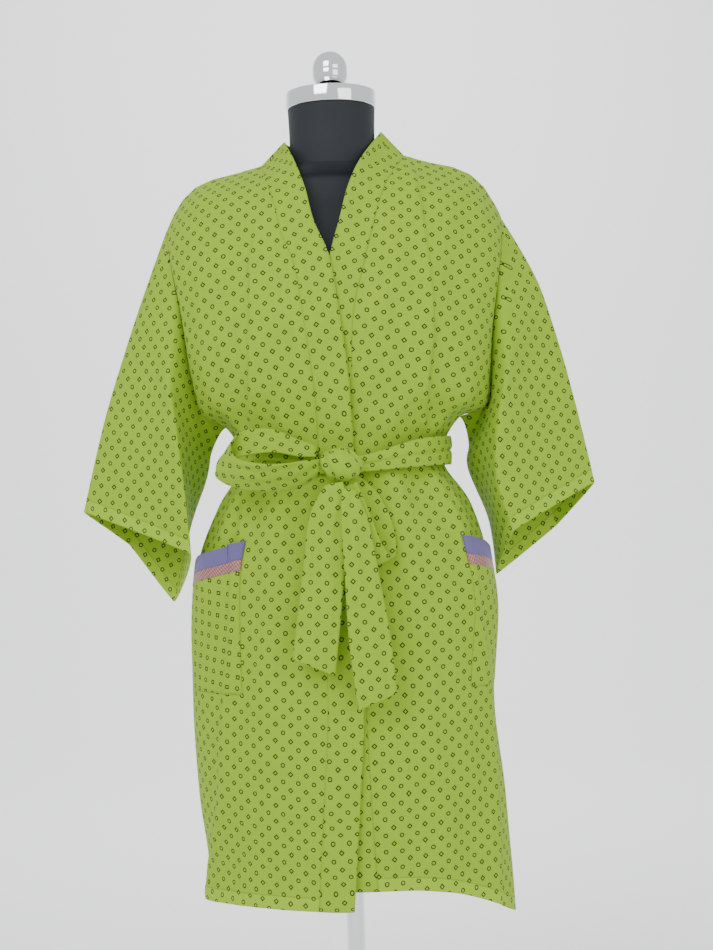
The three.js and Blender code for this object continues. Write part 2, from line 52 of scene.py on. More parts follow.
MM = 0.001
UV_NAME = "flat"
EDGE_NAME = "edge"
Array = np.ndarray
Point = tuple[float, float, float]


# ---------------------------------------------------------------- sizes
CLOTH = 0.8
DOUBLE = 1.8
LAP = 6.0
BAND = 46.0
HEM = 18.0
SASH_FOLDED = 0.039
LAYOUT_LEVELS = ((12, 9, 2500), (23, 17, 1500), (45, 33, 900))


class Side(Enum):
    """A side of the wearer, with the sign of its x."""

    RIGHT = -1
    LEFT = 1

    @property
    def word(self) -> str:
        """The side's name as the nodes use it."""
        return self.name.lower()


class Table:
    """Rows of named columns, read as smooth curves from the first row (0) to the last (1)."""

    def __init__(self, names: str, rows: Sequence[Sequence[float]]) -> None:
        """Keeps the rows.

        Args:
            names: the columns' names, parted by spaces.
            rows: one row of numbers for each station.
        """
        self.names = names.split()
        self.rows = np.array(rows, dtype=float)

    def at(self, t: Array | float) -> dict[str, Array]:
        """Reads every column at t.

        Args:
            t: places along the table from 0 to 1.

        Returns:
            Each column's smooth values.
        """
        place = np.clip(np.asarray(t, dtype=float), 0, 1) * (len(self.rows) - 1)
        i = np.minimum(np.floor(place).astype(int), len(self.rows) - 2)
        f = (place - i)[..., None]
        last = len(self.rows) - 1
        a, b, c, d = (self.rows[np.clip(i + k, 0, last)] for k in (-1, 0, 1, 2))
        value = b + 0.5 * f * (c - a + f * (2 * a - 5 * b + 4 * c - d + f * (3 * (b - c) + d - a)))
        return {name: value[..., k] for k, name in enumerate(self.names)}


FRONT_COLUMNS = "edgeX edgeZ edgeDepth outX outZ outDepth square"
RIGHT_FRONT = Table(FRONT_COLUMNS, [
    [66, 1438, 2, 232, 1320, 0, 2.0],
    [51, 1400, 55, 229, 1298, 14, 2.1],
    [37, 1358, 84, 223, 1262, 30, 2.2],
    [26, 1312, 99, 214, 1216, 38, 2.3],
    [7, 1262, 112, 207, 1168, 38, 2.3],
    [-3, 1192, 128, 199, 1110, 30, 2.3],
    [-13, 1110, 125, 187, 1064, 16, 2.2],
    [-16, 1052, 117, 158, 1046, 0, 2.1],
    [-17, 1018, 110, 142, 1018, 0, 2.1],
    [-18, 986, 110, 142, 984, 0, 2.0],
    [-19, 940, 121, 172, 936, 0, 1.95],
    [-20, 872, 131, 200, 868, 0, 1.9],
    [-21, 796, 136, 211, 796, 0, 1.85],
    [-20, 664, 138, 215, 664, 0, 1.8],
    [-11, 540, 135, 210, 540, 0, 1.75],
    [-4, 455, 132, 200, 452, 0, 1.7],
    [0, 410, 130, 206, 402, 0, 1.7],
])
LEFT_FRONT = Table(FRONT_COLUMNS, [
    [68, 1448, 2, 231, 1322, 0, 2.0],
    [37, 1400, 58, 229, 1300, 14, 2.1],
    [18, 1356, 82, 224, 1264, 30, 2.2],
    [6, 1312, 98, 217, 1218, 38, 2.3],
    [-8, 1262, 112, 210, 1168, 38, 2.3],
    [-24, 1192, 128, 205, 1110, 30, 2.3],
    [-30, 1110, 125, 198, 1064, 16, 2.3],
    [-34, 1054, 117, 164, 1052, 0, 2.2],
    [-34, 1018, 110, 142, 1018, 0, 2.1],
    [-33, 986, 110, 142, 984, 0, 2.1],
    [-32, 940, 120, 174, 936, 0, 2.2],
    [-30, 872, 130, 195, 868, 0, 2.4],
    [-28, 796, 134, 207, 796, 0, 2.4],
    [-24, 664, 135, 200, 664, 0, 2.3],
    [-20, 545, 133, 211, 536, 0, 2.1],
    [-17, 474, 130, 218, 440, 0, 1.9],
    [-15, 433, 127, 221, 372, 0, 1.9],
])
FRONTS = {Side.RIGHT: RIGHT_FRONT, Side.LEFT: LEFT_FRONT}
BACK = Table("midZ midDepth outDepth square", [
    [1396, 74, 0, 2.0], [1368, 90, 22, 2.1], [1332, 102, 38, 2.2], [1286, 110, 46, 2.3], [1232, 114, 46, 2.3],
    [1150, 112, 36, 2.3], [1090, 104, 18, 2.2], [1048, 98, 0, 2.1], [1018, 91, 0, 2.1], [986, 92, 0, 2.1],
    [940, 112, 0, 2.1], [870, 132, 0, 2.1], [796, 138, 0, 2.0], [664, 138, 0, 1.9], [540, 138, 0, 1.9],
    [448, 136, 0, 1.8], [392, 134, 0, 1.8],
])
NECKLINE_X, NECKLINE_DEPTH, NECKLINE_Z = 93.0, 74.0, 1396.0
SHOULDER_SHARE = (0, 0.05, 0.16, 0.4, 0.6, 0.75, 0.86, 0.94, 1)
SHOULDER_HEIGHT = (1, 0.87, 0.74, 0.65, 0.59, 0.5, 0.36, 0.18, 0)

SLEEVE_COLUMNS = "foldX foldY foldZ frontX frontY frontZ innerX innerY innerZ backX backY backZ"
SLEEVES = {
    Side.RIGHT: Table(SLEEVE_COLUMNS, [
        [232, 2, 1320, 214, -52, 1172, 176, 10, 1044, 205, 58, 1176],
        [266, 3, 1235, 226, -66, 1110, 182, 22, 1012, 226, 70, 1120],
        [297, 4, 1150, 220, -72, 1040, 190, 32, 976, 246, 76, 1056],
        [328, 5, 1056, 212, -70, 968, 216, 40, 908, 272, 76, 980],
        [359, 6, 936, 206, -60, 876, 242, 44, 806, 306, 68, 886],
    ]),
    Side.LEFT: Table(SLEEVE_COLUMNS, [
        [231, 2, 1322, 220, -52, 1172, 182, 12, 1044, 208, 58, 1176],
        [274, 3, 1246, 224, -62, 1110, 178, 24, 1014, 232, 70, 1120],
        [302, 4, 1160, 212, -66, 1040, 176, 34, 980, 252, 76, 1056],
        [326, 5, 1064, 208, -66, 968, 204, 40, 906, 276, 76, 984],
        [349, 6, 956, 229, -60, 895, 212, 40, 831, 302, 66, 896],
    ]),
}
FOLD_ROUND = 0.2
SIDE_ROUND_ARMHOLE, SIDE_ROUND_CUFF = 0.8, 0.3
RIM_SHARE = 7 / 16

TORSO = Table("z halfWidth front back", [
    [575, 136, 80, 86], [583, 142, 86, 92], [640, 152, 98, 104], [730, 160, 105, 111], [800, 164, 107, 113],
    [868, 162, 106, 112], [930, 148, 98, 98],
    [1005, 124, 90, 78], [1080, 138, 102, 86], [1150, 152, 112, 94], [1215, 160, 104, 98],
    [1280, 166, 82, 92], [1325, 168, 64, 80], [1350, 162, 50, 66], [1368, 144, 44, 54],
    [1380, 114, 42, 50], [1388, 84, 46, 50], [1396, 64, 50, 52], [1401, 59, 52, 52],
])
NECK = Table("z halfWidth front back", [
    [1400, 59, 52, 52], [1424, 58.5, 54, 54], [1452, 59, 56, 56], [1480, 60, 60, 60],
])

STRIP_COLUMNS = "x y z wx wy wz"
RIGHT_LOOP = Table(STRIP_COLUMNS, [
    [-31, -148, 986, 2, -8, 12], [-60, -160, 978, 2, -16, 17], [-104, -164, 978, 4, -20, 17],
    [-140, -150, 986, 9, -18, 16], [-152, -134, 1002, 12, -10, 17], [-132, -123, 1020, 6, 7, 18],
    [-90, -127, 1024, 0, 9, 15], [-54, -131, 1014, 0, 8, 11], [-32, -133, 1008, 0, 5, 6],
])
LEFT_LOOP = Table(STRIP_COLUMNS, [
    [12, -139, 972, 9, 2, 4], [26, -136, 944, 19, 5, 9], [40, -137, 908, 23, 6, 9], [46, -141, 876, 22, 5, 8],
    [42, -152, 862, 21, 3, 8], [30, -161, 882, 19, -3, 6], [20, -163, 922, 15, -3, 4], [13, -156, 964, 7, -2, 3],
])
RIGHT_TAIL = Table(STRIP_COLUMNS, [
    [-10, -164, 966, 12, -2, 2], [-17, -172, 930, 24, -5, 4], [-24, -172, 870, 27, -5, 4],
    [-33, -169, 800, 27, -3, -6], [-42, -166, 732, 27, 2, -12],
])
LEFT_TAIL = Table(STRIP_COLUMNS, [
    [9, -172, 958, 9, 3, -1], [16, -181, 920, 17, 5, -1], [22, -182, 860, 21, 7, 0],
    [30, -176, 770, 26, 5, 6], [38, -170, 686, 25, 2, 10],
])


# ---------------------------------------------------------------- folds
@dataclass(frozen=True)
class Fold:
    """A fold that runs down (or across) a front or the back.

    path holds (place, offset) pairs: heights and x for a fold that runs down, x and heights for one that runs across.
    A steep of 1 or -1 makes the fold a pleat whose steep side faces +offset or -offset.
    """

    path: tuple[tuple[float, float], ...]
    width: float
    height: float
    steep: int = 0
    across: bool = False

    def lift(self, x: Array, z: Array) -> Array:
        """The fold's height above the cloth.

        Args:
            x: x of each point.
            z: height of each point.

        Returns:
            The lift of each point, in millimetres.
        """
        along, over = (x, z) if self.across else (z, x)
        pairs = sorted(self.path)
        places = np.array([p for p, _ in pairs])
        offsets = np.array([o for _, o in pairs])
        apart = over - np.interp(along, places, offsets)
        sharp = np.where(np.sign(apart) == self.steep, 0.3, 1.0) if self.steep else 1.0
        fade = 28.0
        ends = smooth((along - places[0]) / fade + 1) * smooth((places[-1] - along) / fade + 1)
        return self.height * ends * np.exp(-((apart / (self.width * sharp)) ** 2))


def smooth(value: Array) -> Array:
    """A smooth step from 0 to 1.

    Args:
        value: anything; below 0 gives 0 and above 1 gives 1.

    Returns:
        The step's values.
    """
    v = np.clip(value, 0, 1)
    return v * v * (3 - 2 * v)


def crumple(x: Array, z: Array, size: float, seed: int, lean: float = 0.35) -> Array:
    """Soft random folds that mostly run up and down.

    Args:
        x: across the cloth, in millimetres.
        z: along the cloth, in millimetres.
        size: the folds' usual spacing.
        seed: which folds.
        lean: how far they may turn from straight down, in radians.

    Returns:
        Values from about -1 to 1.
    """
    rng = np.random.default_rng(seed)
    total = np.zeros_like(x, dtype=float)
    waves = 7
    for _ in range(waves):
        turn = rng.uniform(-lean, lean)
        length = size * rng.uniform(0.6, 1.7)
        phase = rng.uniform(0, 2 * math.pi)
        across = x * math.cos(turn) + z * math.sin(turn)
        slow = 1 + 0.35 * np.sin(z / (4.1 * length) + phase * 2)
        total += slow * np.sin(2 * math.pi * across / length + phase)
    return total / math.sqrt(waves) / 1.3


FRONT_FOLDS = (
    Fold(((1290, -104), (1268, -110), (1167, -113), (1040, -119)), 11, 4.0, steep=-1),
    Fold(((985, -122), (885, -142), (827, -147), (757, -153), (646, -169), (543, -177), (419, -201)), 14, 5.0, steep=-1),
    Fold(((1395, 106), (1340, 114), (1276, 119), (1214, 123), (1154, 124), (1109, 116), (1048, 113)), 12, 5.0, steep=1),
    Fold(((986, 113), (918, 150), (867, 165), (825, 170), (761, 179), (698, 188), (578, 194), (386, 193)), 13, 5.0, steep=1),
    Fold(((28, 566), (78, 574), (165, 572)), 5, 2.2, across=True),
    Fold(((-175, 519), (-122, 520), (-98, 538), (-41, 531)), 5, 2.0, across=True),
    Fold(((1180, -62), (1100, -70), (1040, -72)), 9, 2.6, steep=1),
    Fold(((1150, -150), (1090, -146), (1040, -136)), 9, 3.2),
    Fold(((1130, 72), (1080, 66), (1040, 62)), 9, 2.4),
    Fold(((985, 70), (900, 84), (760, 98), (600, 104)), 20, 3.0),
    Fold(((985, -80), (900, -92), (760, -104), (600, -110)), 20, 3.0),
    Fold(((985, -42), (900, -46), (800, -52)), 12, 2.2),
)
BACK_FOLDS = (
    Fold(((1300, -62), (1160, -58), (1040, -46)), 14, 3.4),
    Fold(((1300, 70), (1160, 60), (1040, 48)), 14, 3.4),
    Fold(((985, -60), (800, -84), (600, -96), (420, -100)), 22, 4.5),
    Fold(((985, 62), (800, 80), (600, 92), (420, 96)), 22, 4.5),
    Fold(((985, 4), (800, 8), (600, 6), (420, 2)), 20, 3.4),
    Fold(((-150, 560), (0, 566), (150, 558)), 5, 1.6, across=True),
)


def bump(at: Array, centre: float, width: float) -> Array:
    """A soft bump one unit high.

    Args:
        at: where to read it.
        centre: its middle.
        width: its half width.

    Returns:
        Its height at each place.
    """
    return np.exp(-(((at - centre) / width) ** 2))


def gather(turn: Array, z: Array) -> Array:
    """Gathers above and below the sash, which die out away from the waist and under the sash.

    Args:
        turn: angle round the body, in radians.
        z: height.

    Returns:
        The lift of each point, in millimetres.
    """
    pinch = 1 - bump(z, 1008, 26)
    near = pinch * np.where(z > 1008, bump(z, 1030, 70), bump(z, 960, 110))
    sides = 0.35 + 0.65 * np.abs(np.cos(turn)) ** 0.7
    coarse = np.sin(13 * turn + 0.8 * np.sin(3 * turn) + 0.4)
    fine = np.sin(27 * turn + 1.7 * np.sin(5 * turn)) * bump(z, 1008, 62)
    return near * sides * (4.6 * coarse + 1.5 * fine)


def shoulder(share: Array) -> Array:
    """Height of the shoulder line by share of the way out from the neck."""
    return np.interp(share, SHOULDER_SHARE, SHOULDER_HEIGHT)


def front_point(side: Side, q: Array, t: Array, detail: bool = True) -> Array:
    """Points of a front.

    Args:
        side: which front.
        q: from the free edge (0) to the armhole or side seam (1).
        t: from the shoulder (0) to the hem (1).
        detail: whether the listed folds are added.

    Returns:
        Points in millimetres, one more axis than q.
    """
    row = FRONTS[side].at(t)
    turn = math.pi / 2 * q
    square = row["square"]
    out_share = np.sin(turn) ** (2 / square)
    out_depth = np.maximum(0, row["outDepth"])
    x = row["edgeX"] + (row["outX"] - row["edgeX"]) * out_share
    depth_share = np.maximum(0, 1 - np.abs(x / row["outX"]) ** square) ** (1 / square)
    over = LAP * np.clip((140 - x) / 80, 0, 1) * np.clip(t / 0.2, 0, 1) if side is Side.RIGHT else 0
    depth = out_depth + (row["edgeDepth"] - out_depth) * depth_share + over
    slope = np.minimum(1, t / 0.4)
    height = (1 - slope) * shoulder(out_share) + slope * (1 - out_share**3.5)
    z = row["outZ"] + (row["edgeZ"] - row["outZ"]) * height
    held = np.clip(3 * (1 - q), 0, 1)
    fold = gather(math.pi / 2 - turn, z) * held * np.clip(3 * q, 0, 1)
    if detail:
        pinch = 1 - bump(z, 1006, 24)
        extra = sum(f.lift(side.value * x, z) for f in FRONT_FOLDS)
        soft = crumple(x, z, 74, 11 + side.value) * 1.5 + crumple(x, z, 31, 17 + side.value) * 0.45
        calm = smooth((1445 - z) / 120)
        fold = fold + pinch * np.clip(9 * (1 - q), 0, 1) * (extra + soft * calm)
    outward = np.stack([depth_share * 0.4 + out_share**4, depth_share + 0.2], -1)
    outward /= np.linalg.norm(outward, axis=-1, keepdims=True)
    return np.stack([side.value * (x + fold * outward[..., 0]), -(depth + fold * outward[..., 1]), z], -1)


def back_point(p: Array, t: Array, detail: bool = True) -> Array:
    """Points of the back.

    Args:
        p: from the right side seam (-1) to the left one (1).
        t: from the neckline and shoulders (0) to the hem (1).
        detail: whether the listed folds are added.

    Returns:
        Points in millimetres.
    """
    row = BACK.at(t)
    low, high = RIGHT_FRONT.at(t), LEFT_FRONT.at(t)
    side = {key: np.where(p < 0, low[key], high[key]) for key in low}
    turn = math.pi / 2 * np.abs(p)
    square = row["square"]
    out_share = np.sin(turn) ** (2 / square)
    depth_share = np.maximum(np.cos(turn), 0) ** (2 / square)
    out_depth = np.maximum(0, row["outDepth"])
    x = side["outX"] * out_share
    tops = [table.at(0.0) for table in (RIGHT_FRONT, LEFT_FRONT)]
    top = {key: np.where(p < 0, tops[0][key], tops[1][key]) for key in low}

    def shoulder_z(at: Array | float) -> Array:
        """Height of the shoulder line at a distance from the middle."""
        share = (at - top["edgeX"]) / (top["outX"] - top["edgeX"])
        return top["outZ"] + (top["edgeZ"] - top["outZ"]) * shoulder(np.clip(share, 0, 1))

    in_neck = np.minimum(1, x / NECKLINE_X)
    neck_z = NECKLINE_Z + (shoulder_z(NECKLINE_X) - NECKLINE_Z) * in_neck**2
    top_z = np.where(x < NECKLINE_X, neck_z, shoulder_z(x))
    top_depth = out_depth + NECKLINE_DEPTH * np.sqrt(1 - in_neck**2)
    drop = smooth(t / 0.3)
    rest_z = side["outZ"] + (row["midZ"] - side["outZ"]) * (1 - out_share**2.5)
    fallen = top_z - (top["outZ"] - side["outZ"]) * out_share - (NECKLINE_Z - row["midZ"]) * (1 - out_share)
    z = (1 - drop) * fallen + drop * rest_z
    soon = np.minimum(1, t / 0.16)
    depth = (1 - soon) * top_depth + soon * (out_depth + (row["midDepth"] - out_depth) * depth_share)
    fold = gather(math.pi / 2 - turn + np.where(p < 0, 0.5, 0.9), z) * np.clip(3 * (1 - np.abs(p)), 0, 1)
    if detail:
        pinch = 1 - bump(z, 1006, 24)
        place = np.sign(p) * x
        extra = sum(f.lift(place, z) for f in BACK_FOLDS)
        soft = crumple(place, z, 90, 5) * 1.8 + crumple(place, z, 34, 8) * 0.4
        fold = fold + pinch * np.clip(7 * (1 - np.abs(p)), 0, 1) * smooth(t / 0.12) * (extra + soft)
    outward = np.stack([depth_share * 0.4 + out_share**4, depth_share + 0.2], -1)
    outward /= np.linalg.norm(outward, axis=-1, keepdims=True)
    return np.stack([np.sign(p) * (x + fold * outward[..., 0]), depth + fold * outward[..., 1], z], -1)


def row_at(side: Side, t: float, length: float) -> float:
    """The q at which a front's row has run for a length from its free edge.

    Args:
        side: which front.
        t: the row.
        length: how far along it, in millimetres.

    Returns:
        The place along the row.
    """
    q = np.linspace(0, 0.6, 90)
    points = front_point(side, q, np.full_like(q, t), detail=False)
    run = np.concatenate([[0], np.cumsum(np.linalg.norm(np.diff(points, axis=0), axis=1))])
    return float(np.interp(length, run, q))


# ---------------------------------------------------------------- meshes
def flatten(points: Array, rounds: int, start: Array | None = None) -> Array:
    """Lays a grid of points out flat with its lengths kept, as the cloth was cut.

    Args:
        points: rows by columns of points.
        rounds: how many times the lengths are evened out.
        start: a first layout, where one is known.

    Returns:
        Flat places of the same points, u across and v up, in the points' unit.
    """
    middle = points.shape[1] // 2
    across = np.linalg.norm(np.diff(points, axis=1), axis=2)
    down = np.linalg.norm(np.diff(points, axis=0), axis=2)
    u = np.concatenate([np.zeros((points.shape[0], 1)), np.cumsum(across, axis=1)], axis=1)
    v = np.concatenate([np.zeros((1, points.shape[1])), -np.cumsum(down, axis=0)], axis=0)
    flat = np.stack([u - u[:, middle : middle + 1], v], -1) if start is None else start.copy()
    whole = slice(None)
    links = [
        ((whole, slice(None, -1)), (whole, slice(1, None))),
        ((slice(None, -1), whole), (slice(1, None), whole)),
        ((slice(None, -1), slice(None, -1)), (slice(1, None), slice(1, None))),
        ((slice(None, -1), slice(1, None)), (slice(1, None), slice(None, -1))),
    ]
    rests = [np.linalg.norm(points[b] - points[a], axis=-1) for a, b in links]
    count = np.zeros(points.shape[:2] + (1,))
    for a, b in links:
        count[a] += 1
        count[b] += 1
    for _ in range(rounds):
        move = np.zeros_like(flat)
        for (a, b), rest in zip(links, rests):
            way = flat[b] - flat[a]
            size = np.linalg.norm(way, axis=-1)
            pull = (0.5 * (size - rest) / np.maximum(size, 1e-6))[..., None] * way
            move[a] += pull
            move[b] -= pull
        flat += 1.7 * move / count
    way = flat[-1, middle] - flat[0, middle]
    turn = math.atan2(way[0], -way[1])
    spin = np.array([[math.cos(turn), math.sin(turn)], [-math.sin(turn), math.cos(turn)]])
    return flat @ spin


def stretch(values: Array, rows: int, columns: int) -> Array:
    """Reads a coarse grid at finer, evenly spaced places.

    Args:
        values: the coarse grid.
        rows: rows wanted.
        columns: columns wanted.

    Returns:
        The finer grid.
    """
    j = np.linspace(0, values.shape[0] - 1, rows)
    i = np.linspace(0, values.shape[1] - 1, columns)
    j0 = np.minimum(j.astype(int), values.shape[0] - 2)
    i0 = np.minimum(i.astype(int), values.shape[1] - 2)
    fj, fi = (j - j0)[:, None, None], (i - i0)[None, :, None]
    near = values[j0][:, i0] * (1 - fi) + values[j0][:, i0 + 1] * fi
    far = values[j0 + 1][:, i0] * (1 - fi) + values[j0 + 1][:, i0 + 1] * fi
    return near * (1 - fj) + far * fj


@dataclass(frozen=True)
class Cut:
    """The flat cut of a piece of cloth, in metres and square metres."""

    width: float
    length: float
    area: float


@dataclass(frozen=True)
class Sewn:
    """A finished piece of cloth and its flat cut."""

    piece: bpy.types.Object
    cut: Cut


@dataclass
class Cloth:
    """A grid of points that becomes a closed sheet of cloth."""

    name: str
    points: Array
    ring: bool = False
    flip: bool = False
    thickness: float = CLOTH
    edge: Array | None = None
    flat: Array | None = field(default=None)
    strip: bool = False

    def layout(self) -> Array:
        """The flat layout of the grid, worked out on a coarser one."""
        if self.flat is None:
            rows, columns = self.points.shape[:2]
            laid = None
            for fine_rows, fine_columns, rounds in LAYOUT_LEVELS:
                size = min(rows, fine_rows), min(columns, fine_columns)
                laid = flatten(stretch(self.points, *size), rounds, None if laid is None else stretch(laid, *size))
            self.flat = stretch(laid, rows, columns)
        return self.flat

    def cut(self) -> Cut:
        """Measures the flat cut.

        Returns:
            The straight strip that the piece is, or the box and area of its flat layout.
        """
        if self.strip:
            across = np.linalg.norm(np.diff(self.points, axis=1), axis=2).sum(axis=1)
            down = np.linalg.norm(np.diff(self.points, axis=0), axis=2).sum(axis=0)
            width, length = float(np.median(across)) * MM, float(np.median(down)) * MM
            return Cut(width, length, width * length)
        flat = self.layout() * MM
        one, two = flat[1:, 1:] - flat[:-1, :-1], flat[:-1, 1:] - flat[1:, :-1]
        area = np.abs(one[..., 0] * two[..., 1] - one[..., 1] * two[..., 0]).sum() / 2
        return Cut(float(np.ptp(flat[..., 0])), float(np.ptp(flat[..., 1])), float(area))

    def build(self) -> Sewn:
        """Makes the mesh, its flat layout and its edge distances, and thickens it.

        Returns:
            The finished piece and its cut.
        """
        points, flat = self.points * MM, self.layout() * MM
        rows, columns = points.shape[:2]
        wide = columns - 1 if self.ring else columns
        vertices = points[:, :wide].reshape(-1, 3)
        j, i = np.meshgrid(np.arange(rows - 1), np.arange(columns - 1), indexing="ij")
        j, i = j.ravel(), i.ravel()
        order = ((0, 0), (1, 0), (1, 1), (0, 1))
        if self.flip:
            order = order[::-1]
        corners = np.stack([(j + dj) * wide + (i + di) % wide for dj, di in order], 1)
        loops = np.stack([(j + dj) * columns + (i + di) for dj, di in order], 1)
        mesh = bpy.data.meshes.new(self.name)
        mesh.from_pydata(vertices.tolist(), [], corners.tolist())
        layer = mesh.uv_layers.new(name=UV_NAME)
        layer.data.foreach_set("uv", flat.reshape(-1, 2)[loops.ravel()].ravel().astype(np.float32))
        edge = np.full(points.shape[:2], 1.0) if self.edge is None else self.edge * MM
        attribute = mesh.attributes.new(EDGE_NAME, "FLOAT", "POINT")
        attribute.data.foreach_set("value", edge[:, :wide].ravel().astype(np.float32))
        mesh.shade_smooth()
        piece = bpy.data.objects.new(self.name, mesh)
        bpy.context.scene.collection.objects.link(piece)
        thicken(piece, self.thickness * MM)
        return Sewn(piece, self.cut())


def only(piece: bpy.types.Object) -> None:
    """Selects one object and makes it active."""
    bpy.ops.object.select_all(action="DESELECT")
    piece.select_set(True)
    bpy.context.view_layer.objects.active = piece


def thicken(piece: bpy.types.Object, thickness: float) -> None:
    """Gives a sheet its thickness behind its outer face.

    Args:
        piece: the sheet.
        thickness: in metres.
    """
    only(piece)
    solidify = piece.modifiers.new("thickness", "SOLIDIFY")
    solidify.thickness = thickness
    solidify.offset = -1
    solidify.use_even_offset = False
    bpy.ops.object.modifier_apply(modifier=solidify.name)


def lattice(columns: int, rows: int) -> tuple[Array, Array]:
    """Even places across and along a grid, from 0 to 1."""
    return np.meshgrid(np.linspace(0, 1, columns + 1), np.linspace(0, 1, rows + 1))


# ---------------------------------------------------------------- finishes
def node(tree: bpy.types.NodeTree, kind: str, **values: object) -> bpy.types.Node:
    """Adds a node and sets what it is given.

    Args:
        tree: the material's nodes.
        kind: the node's type.
        **values: attributes, or sockets by name with spaces as underscores.

    Returns:
        The new node.
    """
    made = tree.nodes.new(kind)
    for key, value in values.items():
        if hasattr(made, key):
            setattr(made, key, value)
        else:
            made.inputs[key.replace("_", " ")].default_value = value
    return made


def calculate(tree: bpy.types.NodeTree, operation: str, *terms: object, clamp: bool = False) -> bpy.types.NodeSocket:
    """A Math node on sockets or numbers.

    Args:
        tree: the material's nodes.
        operation: the node's operation.
        *terms: sockets or numbers.
        clamp: whether the result is kept from 0 to 1.

    Returns:
        The result's socket.
    """
    made = tree.nodes.new("ShaderNodeMath")
    made.operation = operation
    made.use_clamp = clamp
    for slot, term in zip(made.inputs, terms):
        if isinstance(term, bpy.types.NodeSocket):
            tree.links.new(term, slot)
        else:
            slot.default_value = term
    return made.outputs[0]


def blend_colour(
    tree: bpy.types.NodeTree, share: object, under: object, over: object, mode: str = "MIX"
) -> bpy.types.NodeSocket:
    """Mixes two colours.

    Args:
        tree: the material's nodes.
        share: how much of over shows, a socket or a number.
        under: a colour or socket.
        over: a colour or socket.
        mode: the mix node's blend type.

    Returns:
        The mixed colour's socket.
    """
    made = tree.nodes.new("ShaderNodeMix")
    made.data_type = "RGBA"
    made.blend_type = mode
    for slot, value in ((made.inputs[0], share), (made.inputs[6], under), (made.inputs[7], over)):
        if isinstance(value, bpy.types.NodeSocket):
            tree.links.new(value, slot)
        elif isinstance(value, tuple):
            slot.default_value = (*value, 1.0)
        else:
            slot.default_value = value
    return made.outputs[2]


def new_material(name: str) -> tuple[bpy.types.Material, bpy.types.NodeTree, bpy.types.Node]:
    """A material with an empty tree and its output.

    Args:
        name: the material's name.

    Returns:
        The material, its tree and its output node.
    """
    made = bpy.data.materials.new(name)
    made.use_nodes = True
    made.node_tree.nodes.clear()
    return made, made.node_tree, made.node_tree.nodes.new("ShaderNodeOutputMaterial")


